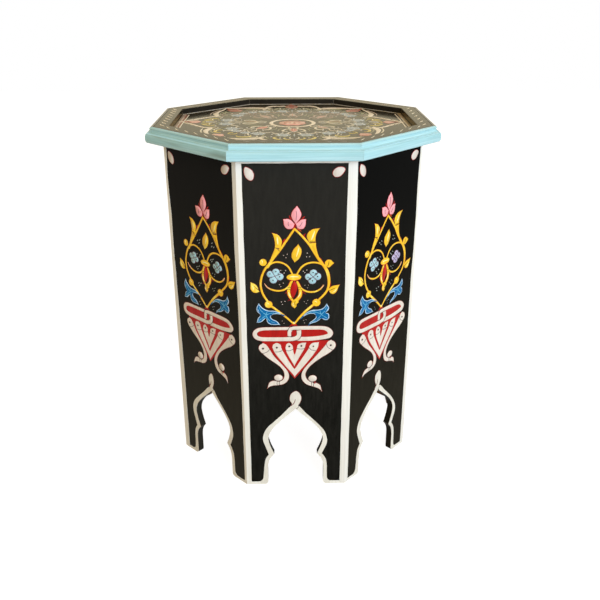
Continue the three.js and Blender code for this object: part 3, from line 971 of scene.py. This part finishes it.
def bowl_rim(face):
    """The rim of the bowl: two long links of a chain, one through the other, over red."""
    for pool in (
        [(-50.4, 245.5), (-47, 240.6), (-38, 240), (-9.6, 240.4), (-9.6, 250.6), (-38, 250.8), (-47, 250)],
        [(-5.2, 250.8), (1.4, 251.2), (1.4, 240.6), (-5.2, 240.4)],
        [(7.4, 251.2), (38, 251.2), (43, 248.6), (43.4, 244.6), (38, 242.2), (22, 241), (7.4, 240.4)],
    ):
        face.solid(pool, "red", UNDER + 0.02, tips=pool)
    face.stroke([(-7, 256.2, 1.2), (-2, 259.4, 3.4), (2, 256.8, 1.2)], "red", UNDER)
    face.stroke([
        (-5, 252.9, 4.9), (-30, 252.7, 4.9), (-44, 252.3, 5.2), (-51.2, 249.8, 6.0), (-53.8, 245, 6.6),
        (-51.6, 240.2, 6.6), (-45, 237.6, 6.6), (-30, 237.1, 6.7), (-6, 237.2, 6.7),
    ], "white", MAIN, edge="wine", edge_width=0.5)
    face.stroke([
        (-7.9, 243, 5.4), (-7.8, 248, 5.4), (-4.4, 252.4, 5.6), (3, 253.5, 5.8), (20, 253.6, 5.8),
        (36, 253.3, 5.8), (43, 250.8, 6.8), (46.5, 246, 7.6), (44.8, 242.2, 7.6), (40, 240.3, 7.0),
        (30, 238.5, 6.6), (20, 237.6, 6.6), (10, 237.3, 6.6), (4, 237.3, 6.6),
    ], "white", OVER, edge="wine", edge_width=0.5)
    bend = [
        (-12, 237.1, 6.6), (-4, 237.4, 6.6), (1, 239, 6.6), (4.2, 242, 6.5), (4.9, 246, 6.5), (4.6, 250.2, 6.6),
    ]
    face.stroke([(x, y, w + 0.9) for x, y, w in flow(bend)[4:-1]], "umber", OVER + 0.03, blunt=False)
    face.stroke(bend, "white", LINE, blunt=False)
    face.lines([
        [(-10.7, 249), (-8.8, 253), (-5, 256.8)], [(-10.8, 241.4), (-6, 241), (-3.2, 242.8)],
        [(8.2, 243.6), (6.4, 239), (2.6, 235)], [(-4.9, 250.2), (-3, 250.7), (1.2, 250.8)],
    ], 0.8, "umber", LINE + 0.04)


TONGUES = [
    [[(-48, 228.5), (-49.3, 223.5), (-47, 218.5), (-43, 214.3), (-38, 209.4), (-32, 204.4), (-26, 199.8),
      (-20.5, 194.6), (-17, 189.6), (-15.4, 184.5), (-15.6, 179.2), (-17.8, 175), (-21.5, 172.8), (-24, 173),
      (-28, 174), (-32.6, 173.4), (-36.4, 170), (-38.8, 161)],
     [(-34.6, 164.4), (-30, 165.8), (-24, 166.5), (-17.6, 167.6), (-12.4, 170.8), (-9, 176.2), (-8.4, 182.4),
      (-10.3, 188.6), (-15.3, 195.8), (-21.8, 203.6), (-28.2, 211.7), (-32.3, 218.8), (-35.8, 225.2),
      (-39.3, 229.9), (-43.5, 231.4)]],
    [[(52.4, 233), (54.4, 228), (53, 223), (49.2, 218.8), (44, 214.4), (38, 210.6), (32, 206.2), (26, 201.4),
      (20.6, 196.2), (16.8, 191), (14.4, 185.6), (14.2, 180.6), (15.8, 176.3), (18.5, 173.4), (24, 170.6),
      (27.6, 170.2), (31.6, 168.6), (34.6, 165), (36.6, 155.8)],
     [(32.4, 160), (28.4, 162.2), (23, 164.2), (17, 166.4), (12.2, 169.8), (8.7, 175.4), (7.8, 181.8),
      (9.3, 188), (13.2, 194.6), (18.8, 201.6), (24.8, 208.8), (30.8, 216.2), (36.4, 223.2), (40.6, 229),
      (43.2, 233.4), (47.6, 235.4)]],
    [[(-28.9, 218.6), (-24.2, 210.8), (-18.2, 202.6), (-12.2, 194.4), (-6.2, 186.8), (-1, 179.4)],
     [(5.2, 187.4), (11.8, 195.8), (18.2, 204.4), (24.2, 212.8), (28.7, 220.5), (31, 226), (31.4, 232.4)],
     [(23.6, 231.9), (19.1, 228.1), (16.7, 221.8), (11.4, 213), (5.8, 203.6), (-1.2, 191.8)],
     [(-6.2, 200.2), (-10.8, 208.6), (-15.3, 217.2), (-18.3, 224), (-19.4, 229), (-24.5, 232), (-29.8, 229.6),
      (-30.9, 225)]],
    [[(-12.3, 218), (-8.9, 210.2), (-5.3, 203.4), (-1.4, 195.8)],
     [(4.2, 206.8), (8.9, 215.8), (12.9, 223.9), (14.6, 232)], [(8.4, 232), (3, 229), (1.4, 223), (-1, 213.6)],
     [(-2.6, 220.4), (-3.4, 227.6), (-8.4, 232), (-12.6, 229.2), (-13.3, 224)]],
]


def bowl(face):
    """The bowl: six white tongues with eyed heads over red, the outer two drawn out into curled feet."""
    face.solid([(-45, 234), (-1, 176.8), (45.6, 235)], "red", UNDER + 0.02)
    for x, y, tall in ((-23.1, 178.3, 0.86), (23.4, 176.8, 0.88)):
        face.dot(x, y, 5.9, "white", MAIN, edge="wine", tall=tall)
    for tongue in TONGUES:
        face.patch(tongue, "white", OVER, edge="wine", edge_width=0.6)
    face.lines([
        [(-45, 215.8), (-38.6, 217.8), (-34.2, 222)], [(-26.6, 218.2), (-21.6, 218.4), (-17.4, 220.6)],
        [(-12.2, 220), (-7.6, 219.8), (-3.4, 222)], [(2, 223.4), (7.2, 222.2), (12.4, 223)],
        [(17.6, 225), (21.6, 220.8), (26.8, 220)], [(41.2, 230.6), (43.6, 224.4), (50.2, 220.2)],
        [(-24.6, 173.2), (-25.2, 170), (-24.6, 167)], [(-21.6, 173), (-22.2, 170), (-21.6, 167.4)],
        [(21.6, 171.8), (22.2, 168), (21.6, 164.8)], [(24.4, 170.8), (25, 168), (24.4, 164.2)],
        [(-28.6, 174.2), (-23.4, 173), (-18, 174.8)], [(18.6, 172.8), (23.4, 171.2), (28.4, 171.4)],
    ], 0.75, "umber", LINE)
    for x, y, radius in (
        (-43.4, 223.4, 1.7), (-24.8, 224.7, 1.6), (-8.2, 226.4, 1.6), (8, 227, 1.5), (24, 226.2, 1.3),
        (47.4, 227.5, 1.6),
    ):
        face.dot(x, y, radius, "umber", LINE)
    face.dot(26.4, 169.6, 1.2, "red", LINE)
    face.strokes([
        [(18.4, 175.4, 0.6), (21, 172.6, 1.0), (27.6, 172.2, 0.7)],
        [(-20, 174.2, 0.5), (-17.4, 176.6, 0.8), (-16.6, 180, 0.5)],
    ], "red", UNDER)


KNOT_WIDTHS = {"front_left": 0.68, "front_right": 0.86}


def arch_knot(face, wide):
    """The knot that the two ends of the arch band tie over the point of the arch."""
    knot = [
        (-3, 127.4), (3.4, 133.4), (7.4, 140.6), (8.1, 147.4), (5.9, 153.4), (1.6, 157.4), (-2.4, 156.2),
        (-6.4, 152.6), (-8.3, 147.4), (-7.9, 141.4), (-5.4, 136), (-8.6, 130.4),
    ]
    face.patch([[(x * wide, y) for x, y in knot]], "chalk", MAIN + 0.04, edge="wine", edge_width=0.5)
    face.stroke([(-5.8, 133.6, 0.8), (-2.4, 137.6, 1.4), (-0.2, 143.6, 0.8)], "wine", OVER)
    face.stroke([(0.4, 128.4, 0.5), (3, 130, 0.8), (4.6, 133, 0.5)], "umber", OVER)


MOTIFS = (
    corner_petals, palmette, onion_frame, horns, seed_and_buds, inner_scrolls, waist, acanthus, bowl_rim, bowl,
)
# How far each board's ornament lies from the pattern: level, right and up
DRIFTS = {
    "front": [(0, 0, 0)],
    "front_left": [
        (126, 0.8, 0), (150, 1.5, 1.5), (172, 3, 1), (200, 3.5, 3.5), (232, 3.5, 2), (246, 5, 1.5), (260, 3, 2),
        (290, 4.3, 3), (328, 4.6, 1.6), (360, 3.8, 1), (391, 4, 0.5), (420, 3.5, 1.5), (440, 0, 0.8),
        (460, -2, 0),
    ],
    "front_right": [
        (126, -1, 0), (150, -2, 4), (175, 0.5, 0.5), (200, 0, 2), (246, 1.2, 1.5), (260, -1.3, 2),
        (290, 2, 1.5), (328, 2.3, 1.6), (360, 1.5, 1.5), (391, 3.5, 0.7), (420, 4, 2), (460, 1.3, 0.5),
    ],
}
HAND = {"front": 0.1, "front_left": 0.25, "front_right": 0.25}
LOOSE_HAND = 0.6
# Each board's flecks: how long, how slanted, and the paint
FLECK_STYLES = {
    "front": (0.4, 0.3, "white"), "front_right": (1.6, -0.6, "mist"), "right": (1.2, 0.4, "white"),
    "back_right": (3.4, 0.8, "mist"), "back": (0.8, 0.2, "white"), "back_left": (2.6, -0.5, "mist"),
    "left": (4.0, 0.4, "white"), "front_left": (2.6, 0.7, "mist"),
}
for index, side in enumerate(SIDES):
    loose = random.Random(f"drift_{side}")
    face = PaintedFace(f"board_ornament_{side}", board_face(index), 0.0)
    edge_stripes(face, side)
    arch_band(face)
    face.hand = HAND.get(side, LOOSE_HAND)
    face.drift = DRIFTS.get(side) or [
        (126, 0, 0), *((level, loose.uniform(-2, 2), loose.uniform(-1, 1.5)) for level in range(170, 480, 48)),
    ]
    for motif in MOTIFS:
        motif(face)
    arch_knot(face, KNOT_WIDTHS.get(side, 1.0))
    blossoms(face, BLOSSOM_PAINTS.get(side, ("sky", "sky")), BLOSSOM_SIZES.get(side, 0.96))
    flecks(face, *FLECK_STYLES[side])
    face.made("board_paint")


# Corner battens and cleats
# Strips of sawn softwood, glued into the eight corners and along the heads of the boards, and left bare.
def bare_strip(name, stretch):
    material, tree = empty_material(name)
    colour, fibres = bare_wood(tree, grouped(tree, side_frame)["Place"], stretch)
    rough = math_of(tree, "MULTIPLY_ADD", fibres, 0.25, 0.62)
    close_material(tree, colour, rough, fibres, 0.0003, 0.3)
    return material


batten_wood = bare_strip("batten_wood", (90, 90, 4))
cleat_wood = bare_strip("cleat_wood", (90, 4, 90))
for side in SIDES:
    dress(f"corner_batten_{side}", batten_wood)
    dress(f"top_cleat_{side}", cleat_wood)


# Cleat screws
# Zinc-plated countersunk wood screws, driven up through the cleats into the top.
screw_zinc, tree = empty_material("screw_zinc")
tarnish = noise_of(tree, room_place(tree), 900.0, 4.0)
bump = put(tree, "ShaderNodeBump", {"Height": tarnish, "Strength": 0.3, "Distance": 0.0001})
shader = put(tree, "ShaderNodeBsdfPrincipled", {
    "Base Color": blend_colour(tree, tarnish, (206, 208, 212), (150, 150, 148)),
    "Roughness": math_of(tree, "MULTIPLY_ADD", tarnish, 0.3, 0.2), "Metallic": 1.0, "Normal": bump.outputs[0],
})
put(tree, "ShaderNodeOutputMaterial", {"Surface": shader.outputs[0]})
for side in SIDES:
    dress(f"cleat_screw_{side}", screw_zinc)


# Top board
# One octagonal board, bare below. Its field is brushed black, painted with a rosette inside border lines, and
# varnished: at the low angle from which a top is seen, the varnish mirrors more and greys the black. Its mirror
# is tinted warm, a painted reflection of the warm room, since the room shows white in mirrors.
PAINTED_WARM_REFLECTION = (1.0, 0.885, 0.60, 1)
VARNISH_BEND, VARNISH_ROUGHNESS = 1.152, 0.16


def varnished(tree, colour, roughness, height, depth, cover=1.0, specular=0.0):
    """Paint, and over its covered part the varnish, which mirrors more the lower it is seen, in a painted warm
    tint.
    """
    bump = put(tree, "ShaderNodeBump", {"Height": height, "Strength": 0.5, "Distance": depth}).outputs[0]
    paint = put(tree, "ShaderNodeBsdfPrincipled", {
        "Base Color": colour, "Roughness": roughness, "Normal": bump, "Specular IOR Level": specular,
    })
    mirror = put(tree, "ShaderNodeBsdfAnisotropic", {
        "Color": PAINTED_WARM_REFLECTION, "Roughness": VARNISH_ROUGHNESS, "Normal": bump,
    })
    low_angle = put(tree, "ShaderNodeFresnel", {"IOR": VARNISH_BEND, "Normal": bump})
    mirrored_part = math_of(tree, "MULTIPLY", low_angle.outputs[0], cover)
    both = put(tree, "ShaderNodeMixShader", {0: mirrored_part, 1: paint.outputs[0], 2: mirror.outputs[0]})
    put(tree, "ShaderNodeOutputMaterial", {"Surface": both.outputs[0]})


def top_ground(name, dark, light, stretch):
    """Black under varnish above and on the edges, worn at the corners, and bare wood below."""
    material, tree = empty_material(name)
    place = room_place(tree)
    marks = grouped(tree, brush_marks, Place=place, Stretch=stretch, Contrast=0.8)
    ground = blend_colour(tree, marks["Streaks"], dark, light)
    worn = grouped(tree, rubbed_edge, Width=0.0014, Amount=0.40)["Rubbed"]
    ground = blend_colour(tree, worn, ground, (138, 128, 114))
    up = put(tree, "ShaderNodeSeparateXYZ", {0: facing_of(tree)}).outputs["Z"]
    below = math_of(tree, "LESS_THAN", up, -0.5)
    colour = blend_colour(tree, below, ground, bare_wood(tree, place, (4, 70, 70))[0])
    rough = math_of(tree, "MULTIPLY_ADD", marks["Streaks"], 0.12, 0.5)
    varnished(tree, colour, rough, marks["Ridges"], 0.00006)
    return material


def varnished_paint(name, colour, thin):
    """Ornament paint under the varnish, thinner in streaks."""
    material, tree = empty_material(f"{name}_paint")
    marks = grouped(tree, brush_marks, Place=room_place(tree), Stretch=(240, 240, 240), Contrast=0.9)
    mixed = blend_colour(tree, marks["Streaks"], colour, thin)
    rough = math_of(tree, "MULTIPLY_ADD", marks["Streaks"], 0.12, 0.45)
    varnished(tree, mixed, rough, marks["Ridges"], 0.00008)
    return material


dress("top_board", top_ground("field_black", (36, 33, 29), (50, 46, 40), (30, 500, 500)))
# Each paint's colour and the colour of its thin streaks
TOP_PAINTS = {
    "cream": ((250, 240, 224), (230, 218, 198)),
    "rose": ((242, 196, 182), (222, 170, 156)),
    "rust": ((188, 130, 116), (162, 106, 94)),
    "coral": ((204, 122, 108), (178, 98, 86)),
    "lemon": ((238, 222, 138), (218, 196, 106)),
    "linen": ((248, 240, 220), (226, 218, 198)),
    "tan": ((184, 164, 136), (158, 140, 114)),
    "slate": ((184, 194, 198), (150, 162, 172)),
    "navy": ((128, 142, 166), (100, 116, 144)),
    "olive": ((166, 166, 134), (138, 138, 108)),
    "pearl": ((255, 254, 248), (236, 232, 222)),
    "blush": ((198, 180, 168), (172, 152, 140)),
    "ash": ((186, 180, 172), (156, 150, 142)),
    "bark": ((84, 66, 48), (64, 48, 34)),
}
PAINTS.update({name: varnished_paint(name, *colours) for name, colours in TOP_PAINTS.items()})
FIELD_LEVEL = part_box("top_board")[1].z / MM
BEAD_HEIGHT = 0.7
# The middle of the ring, which the painter set a little in front of the field's own
HEART = (-0.5, -6)


def flat_face(level, bearing=0.0, length=1.0):
    """The place in the room of a point on a level face: outward along a bearing, drawn out by length, and
    leftward."""
    out, left = directions(bearing)
    return lambda x, y, height: out * x * length + left * y + Vector((0, 0, level + height))


def border(face, apothem, width, paints, height=MAIN):
    """A painted line along the sides of the field, with a paint or none for each, from the right side on."""
    corners = circle_of(apothem / math.cos(TURN / 2), len(SIDES), start=TURN / 2)
    for a, b, paint in zip(corners, corners[1:] + corners[:1], paints[1:] + paints[:1]):
        middle = [(p + q) / 2 + face.chance.uniform(-0.4, 0.4) for p, q in zip(a, b)]
        if paint:
            face.stroke([(*a, width), (*middle, width * 0.9), (*b, width)], paint, height)


field = PaintedFace("field_rosette", flat_face(FIELD_LEVEL), 0.3)
# Inside the lip runs a wide faded band with a cream line beside it, and along the back a bead of pale paint
border(field, 160.0, 6.0, ["tan", None, None, None, "blush", "blush", None, "tan"])
border(field, 156.2, 0.9, ["bark", None, None, None, "coral", "coral", None, "bark"], OVER)
border(field, 153.6, 1.9, ["cream", None, None, None, "cream", "cream", None, "cream"])
border(field, 162.6, 1.5, [None, "ash", "ash", "ash", None, None, None, None], BEAD_HEIGHT)
field.stroke([(x, y, 5.8) for x, y in circle_of(29.8, 20, HEART)], "cream", closed=True)
hollows, lobes = circle_of(17.6, 8, HEART), circle_of(20.0, 8, HEART, TURN / 2)
field.patch([[point for pair in zip(hollows, lobes) for point in pair]], "rose", edge="coral", edge_width=0.5)
for middle in (HEART[0] - 6.6, HEART[0] + 6.6):
    curl = [
        (middle + 4.8 * math.cos(angle), HEART[1] - 2 + 8.0 * math.sin(angle), width)
        for angle, width in ((0.4, 1.0), (1.5, 2.2), (2.8, 2.6), (3.9, 2.4), (5.1, 1.0))
    ]
    field.stroke(curl, "coral", OVER)
    field.dot(middle, HEART[1] - 3, 1.8, "cream", OVER)
field.dot(*HEART, 2.2, "cream", OVER)


def flower(face, x, y, size):
    """A pale round flower: six petals round a disc, three darker strokes and four white specks."""
    for petal in circle_of(size * 0.66, 6, (x, y), 0.4):
        face.dot(*petal, size * 0.32, "slate")
    face.dot(x, y, size * 0.72, "slate", MAIN + 0.02)
    for px, py in circle_of(size * 0.42, 3, (x, y), 1.1):
        face.stroke([(x, y, 0.7), (px, py, 1.2), (px + 1.6, py - 1.0, 0.6)], "navy", OVER)
    for speck in circle_of(size * 0.7, 4, (x, y), 0.9):
        face.dot(*speck, 0.9, "pearl", LINE)


def mirrored(face, points, paint, height=MAIN):
    """A stroke and its mirror image on the other side of the ray."""
    for way in (-1, 1):
        face.stroke([(x, way * y, width) for x, y, width in points], paint, height)


def lily(face, leaf):
    """The three-leaved flower that stands at the ring in all eight directions. leaf is its middle's paint."""
    mirrored(face, [(37, 3.4, 1.2), (43, 6.6, 2.4), (49, 4.4, 2.0), (51, 2.6, 1.0)], "linen")
    mirrored(face, [
        (49, 2, 1.4), (52.5, 9, 3.0), (59, 14, 3.6), (66, 14.6, 3.0), (69, 10.6, 1.6), (66, 8, 0.9),
    ], "linen")
    middle_leaf = [[(53, 4.2), (62, 4.8), (71, 0)], [(62, -4.8), (53, -4.2), (48, 0)]]
    face.patch(middle_leaf, leaf, OVER, edge="linen", edge_width=0.8)
    face.stroke([(50, 0, 0.7), (58, 0, 1.4), (66, 0, 0.7)], "rose" if leaf == "coral" else "coral", LINE)
    mirrored(face, [(71.5, 1.6, 0.9), (77, 6.6, 2.2), (84, 8.4, 2.2), (90, 4.4, 1.0)], "linen")
    mirrored(face, [(45, 13.4, 0.8), (52, 19, 1.6), (60, 20.6, 1.4), (66, 21.4, 0.8)], "olive")
    for reach in (79.5, 86.5):
        face.dot(reach, 0, 1.0, "linen")
    for way in (-1, 1):
        face.dot(73, way * 15.4, 1.1, "pearl")


def bud(face, start, end, half, aside):
    """A pink bud with darker veins, set to one side of the ray's middle line if the painter missed it."""
    def at(along, across, *width):
        return (start + (end - start) * along, aside + half * across, *width)

    face.patch([
        [at(0.3, 1), at(0.66, 0.8), at(1, 0)], [at(0.66, -0.8), at(0.3, -1), at(0, 0)],
    ], "rose", OVER, edge="coral", edge_width=0.6)
    face.stroke([at(0.2, 0, 0.6), at(0.5, 1 / half, 1.2), (end + 5, aside, 0.7)], "coral", LINE)
    for way in (-1, 1):
        vein = [at(0.16, way * 0.4, 0.7), at(0.42, way * 0.62, 1.4), at(0.7, way * 0.4, 0.7)]
        face.stroke(vein, "blush", LINE)


# The outline of a ray that points at a whole side, from its point to the notch. The back one has a shoulder.
POINTED = [
    (157.4, -0.6, 3.0), (150, 5, 3.2), (142, 13.4, 3.4), (135, 22, 3.6), (125, 35, 4.2), (118, 42.4, 5.0),
    (108.6, 44, 4.4),
]
SHOULDERED = [
    (141, 9, 3.0), (139, 15, 4.6), (141, 24, 5.6), (140, 31.6, 6.4), (131, 38.6, 4.4), (111, 45, 3.0),
]


def axis_ray(face, outline, bud_place):
    """The ray that points at a whole side: a point of the star, with a bud in it and dashes along it."""
    mirrored(face, outline, "cream", OVER)
    for a, b in (((150, 11), (142, 19)), ((139.6, 21.6), (134, 28)), ((131.6, 30.8), (127.6, 36))):
        mirrored(face, [(*a, 0.9), ((a[0] + b[0]) / 2, (a[1] + b[1]) / 2, 1.4), (*b, 0.9)], "linen")
    mirrored(face, [(108.6, 44, 3.6), (104.6, 41, 2.6), (102.4, 37, 1.2)], "cream")
    bud(face, *bud_place)
    mirrored(face, [(126, 2.4, 1.0), (122, 8.4, 2.6), (117.4, 13, 3.0), (112, 12, 1.4)], "lemon")
    mirrored(face, [(120.6, 1.4, 1.0), (114, 6, 1.8), (107, 5, 1.0)], "linen")
    mirrored(face, [
        (125, 15, 1.2), (121, 20.6, 3.8), (115.6, 25, 4.4), (109.4, 26.6, 2.8), (106.4, 23, 1.2),
    ], "lemon")
    mirrored(face, [(119, 30, 1.0), (113.6, 35, 2.6), (107.6, 36.6, 2.6), (104.6, 33, 1.0)], "olive")
    mirrored(face, [(101, 5, 0.9), (105, 12.4, 2.2), (103, 19, 1.8), (98, 24.4, 0.9)], "olive")
    mirrored(face, [(80, 14, 0.9), (84.6, 20, 2.4), (81, 26.4, 2.6), (75, 28.6, 1.2)], "linen")
    face.stroke([(88, 0, 1.0), (96, 0, 2.6), (103, 0, 1.0)], "slate")
    for way in (-1, 1):
        flower(face, 93, way * 15, 10.6)
        face.dot(114, way * 18.4, 1.2, "pearl", LINE)
        face.dot(104, way * 30, 1.2, "pearl")
        face.dot(88, way * 29, 1.3, "pearl")


def lobe_ray(face, bud_place):
    """The ray that points at a corner side: a rounded lobe with an ogee tip and bold, crescent shoulders."""
    mirrored(face, [
        (107.6, 50.6, 4.0), (111.6, 47.6, 7.6), (118.6, 43.6, 8.4), (125.4, 38.8, 7.8), (130.6, 32.8, 6.0),
        (135, 26.4, 5.0), (138.6, 20.4, 4.4), (141.6, 14.4, 3.8), (146.6, 7, 3.0), (152, -0.6, 2.4),
    ], "cream", OVER)
    mirrored(face, [
        (119.6, 53, 1.2), (127.4, 47, 2.0), (134, 39, 2.0), (139.4, 29.6, 2.0), (144, 19.4, 1.8),
        (147, 14, 1.0),
    ], "linen")
    mirrored(face, [
        (107.4, 45.6, 1.0), (113, 40.4, 2.0), (121, 34.4, 2.2), (127, 25.4, 2.2), (131.6, 14.6, 1.4),
    ], "olive")
    bud(face, *bud_place)
    mirrored(face, [(120, 1.6, 1.0), (114.6, 5, 2.8), (109.6, 4, 1.4)], "lemon")
    mirrored(face, [
        (121, 15, 1.2), (123, 21.6, 3.8), (118.6, 28.6, 4.4), (111, 31, 3.2), (107, 27, 1.2),
    ], "lemon")
    mirrored(face, [(103.4, 34.6, 1.0), (107, 39.6, 2.4), (112.6, 38, 2.4), (115, 33.4, 1.0)], "linen")
    mirrored(face, [(88, 1.4, 1.0), (94, 9.6, 1.8), (103, 17.4, 2.2), (108, 25, 1.2)], "linen")
    mirrored(face, [(80, 16, 0.9), (84, 24.4, 2.4), (79, 30, 2.4), (73, 31, 1.0)], "linen")
    mirrored(face, [(88.4, 35, 0.9), (96, 39, 2.4), (102, 43.4, 2.6), (105.4, 48.6, 1.4)], "olive")
    face.stroke([(92, 0, 1.0), (98.6, 0, 2.6), (105, 0, 1.0)], "blush")
    for way in (-1, 1):
        flower(face, 92, way * 25, 10.6)
        flower(face, 99, way * 8.6, 7.6)
        face.dot(110.6, way * 20.4, 1.2, "pearl")
        face.dot(136, way * 10, 1.1, "linen")
        face.dot(99, way * 46, 1.4, "linen")


LILY_LEAVES = {"left": "olive", "right": "olive", "front": "coral", "front_left": "coral"}
# The painter's own slips: how far each ray swings round, in degrees, how much too long or short it came out,
# and where its bud lies: its two ends, its half width, and how far it is to one side
RAY_SLIPS = {
    "left": (-2.6, 1.015, (128, 146, 9.5, 0)), "right": (-1.0, 1.0, (127, 143, 9.5, 0)),
    "front": (0.4, 1.0, (124, 147, 8, 0)), "back": (0.0, 1.02, (119, 158, 9.5, 0)),
    "front_left": (0.0, 1.0, (126, 147, 8.5, -4.5)), "front_right": (-0.8, 0.98, (124.5, 145, 8.5, 2)),
    "back_left": (-5.0, 1.05, (116, 147, 10, 0)), "back_right": (1.4, 1.045, (116, 147, 10, 0)),
}
# At the back of the field, its brighter paints give way to duller ones
DULLER_AT_BACK = {"lemon": "olive", "linen": "blush", "pearl": "linen", "rose": "rust"}
for index, side in enumerate(SIDES):
    swing, length, bud_place = RAY_SLIPS[side]
    bearing = FRONT_BEARING + index * TURN + math.radians(swing)
    ray = PaintedFace(f"field_ray_{side}", flat_face(FIELD_LEVEL, bearing, length), 0.4)
    lily(ray, LILY_LEAVES.get(side, "blush"))
    if index % 2:
        lobe_ray(ray, bud_place)
    else:
        axis_ray(ray, SHOULDERED if side == "back" else POINTED, bud_place)
    if "back" in side:
        ray.paints = [DULLER_AT_BACK.get(paint, paint) for paint in ray.paints]
    ray.made("top_paint")
field.made("top_paint")


# Lip strips
# Flat strips, mitred at the corners and bedded on the rim of the top board, varnished black as the field is.
# Cream commas run along them, bold on the left and right strips, and almost rubbed away on the front one.
lip_black = top_ground("lip_black", (30, 28, 25), (42, 39, 34), (120, 120, 120))
lip_low, lip_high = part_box("lip_strip_right")
LIP_MIDDLE, LIP_TOP = (lip_low.x + lip_high.x) / 2 / MM, lip_high.z / MM
# For each strip: how many commas, how far apart, how wide, how far they reach across and lean, and the paint
LIP_COMMAS = {
    "left": (9, 16.0, 2.0, 3.6, -6.5, "cream"), "right": (7, 22.0, 2.0, 2.6, 5.0, "linen"),
    "front_left": (7, 19.0, 1.5, 2.2, 6.0, "linen"), "front_right": (7, 19.0, 1.1, 2.2, -6.0, "linen"),
    "back_left": (6, 19.0, 1.6, 2.4, 6.0, "blush"), "back_right": (6, 19.0, 1.6, 2.4, -6.0, "blush"),
    "front": (7, 19.0, 0.9, 3.0, 5.0, "ash"), "back": (6, 20.0, 1.4, 2.6, 5.0, "ash"),
}
for index, side in enumerate(SIDES):
    dress(f"lip_strip_{side}", lip_black)
    face = PaintedFace(f"lip_drops_{side}", flat_face(LIP_TOP, FRONT_BEARING + index * TURN), 0.2)
    count, pitch, width, across, lean, paint = LIP_COMMAS[side]
    for k in range(count):
        along = (k - (count - 1) / 2) * pitch + face.chance.uniform(-0.8, 0.8)
        face.stroke([
            (LIP_MIDDLE + aside * across, along + ahead * lean, full * width)
            for aside, ahead, full in ((1, 1, 0.4), (0.4, 0.2, 1), (-1, -1, 0.5))
        ], paint)
    face.made("top_paint")


# Edge mouldings
# Strips planed to a bead, a groove, a cove and a round, mitred and glued round the edge of the top, and brushed
# lengthwise with aqua paint, with painted shade along the hollows and painted highlights along the rounds. The
# lip's black laps over onto their flat top.
MOULDING_FOOT, MOULDING_HEAD = (corner.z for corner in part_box("edge_moulding_front"))
# Lines along the profile, painted shade in the hollows and painted highlights on the rounds: how high each is,
# as a share, how far it reaches, how strong it is, and its colour
PROFILE_SHADE_AND_HIGHLIGHTS = (
    (0.845, 0.045, 0.36, (88, 136, 144)), (0.74, 0.045, 0.42, (140, 186, 194)),
    (0.92, 0.06, 0.28, (138, 184, 192)), (0.60, 0.04, 0.9, (190, 236, 255)), (0.09, 0.12, 0.5, (206, 242, 248)),
)


def moulding_aqua(name, lapped_level, lapped_reach, grime_and_shade):
    """Aqua paint with grime on it, which also stands in for shade where there is more of it, painted shade and
    highlights along the profile, and the lip's black above a level and inside a reach, in millimetres.
    """
    material, tree = empty_material(name)
    place = grouped(tree, side_frame)["Place"]
    apart = put(tree, "ShaderNodeSeparateXYZ", {0: place}).outputs
    level = put(tree, "ShaderNodeMapRange", {
        "Value": apart["Z"], "From Min": MOULDING_FOOT, "From Max": MOULDING_HEAD,
    }).outputs[0]
    marks = grouped(tree, brush_marks, Place=place, Stretch=(800, 14, 800), Contrast=0.9)
    coat = blend_colour(tree, marks["Streaks"], (178, 221, 228), (150, 198, 207))
    coat = blend_colour(tree, math_of(tree, "MULTIPLY", marks["Pools"], 0.55), coat, (200, 236, 242))
    # Grime in patches; the front left moulding's heavier grime also paints the shade on that side
    thin = grouped(tree, brush_marks, Place=place, Stretch=(60, 16, 130), Contrast=1.3)
    coat = blend_colour(tree, math_of(tree, "MULTIPLY", thin["Pools"], grime_and_shade), coat, (132, 158, 152))
    # Painted shade and painted highlights along the profile
    for height, reach, strength, colour in PROFILE_SHADE_AND_HIGHLIGHTS:
        away = math_of(tree, "ABSOLUTE", math_of(tree, "SUBTRACT", level, height))
        coat = blend_colour(tree, ramp_of(tree, away, 0.0, reach, strength, 0.0), coat, colour)
    # Lighter aqua on the rubbed edges: wear, and partly a painted highlight along them
    worn = grouped(tree, rubbed_edge, Width=0.0012, Amount=0.46)["Rubbed"]
    coat = blend_colour(tree, math_of(tree, "MULTIPLY", worn, 0.5), coat, (204, 240, 246))
    wobble = math_of(tree, "MULTIPLY_ADD", marks["Ridges"], 0.8 * MM, -0.4 * MM)
    above = math_of(tree, "GREATER_THAN", apart["Z"], lapped_level * MM)
    within = math_of(tree, "LESS_THAN", math_of(tree, "ADD", apart["X"], wobble), lapped_reach * MM)
    lapped = math_of(tree, "MULTIPLY", above, within)
    coat = blend_colour(tree, lapped, coat, (34, 31, 27))
    rough = math_of(tree, "MULTIPLY_ADD", marks["Streaks"], 0.15, 0.4)
    varnished(tree, coat, rough, marks["Ridges"], 0.0004, lapped, 0.08)
    return material


# The front left moulding's coat is grimier: grime, and painted shade on that side
aqua_near = moulding_aqua("moulding_aqua_near", 499.5, 184.4, 0.14)
aqua_grimy_and_shaded = moulding_aqua("moulding_aqua_grimy", 499.5, 184.4, 0.8)
aqua_far = moulding_aqua("moulding_aqua_far", 499.1, 190.0, 0.5)
MOULDING_COATS = {"front": aqua_near, "front_right": aqua_near, "front_left": aqua_grimy_and_shaded}
for side in SIDES:
    dress(f"edge_moulding_{side}", MOULDING_COATS.get(side, aqua_far))
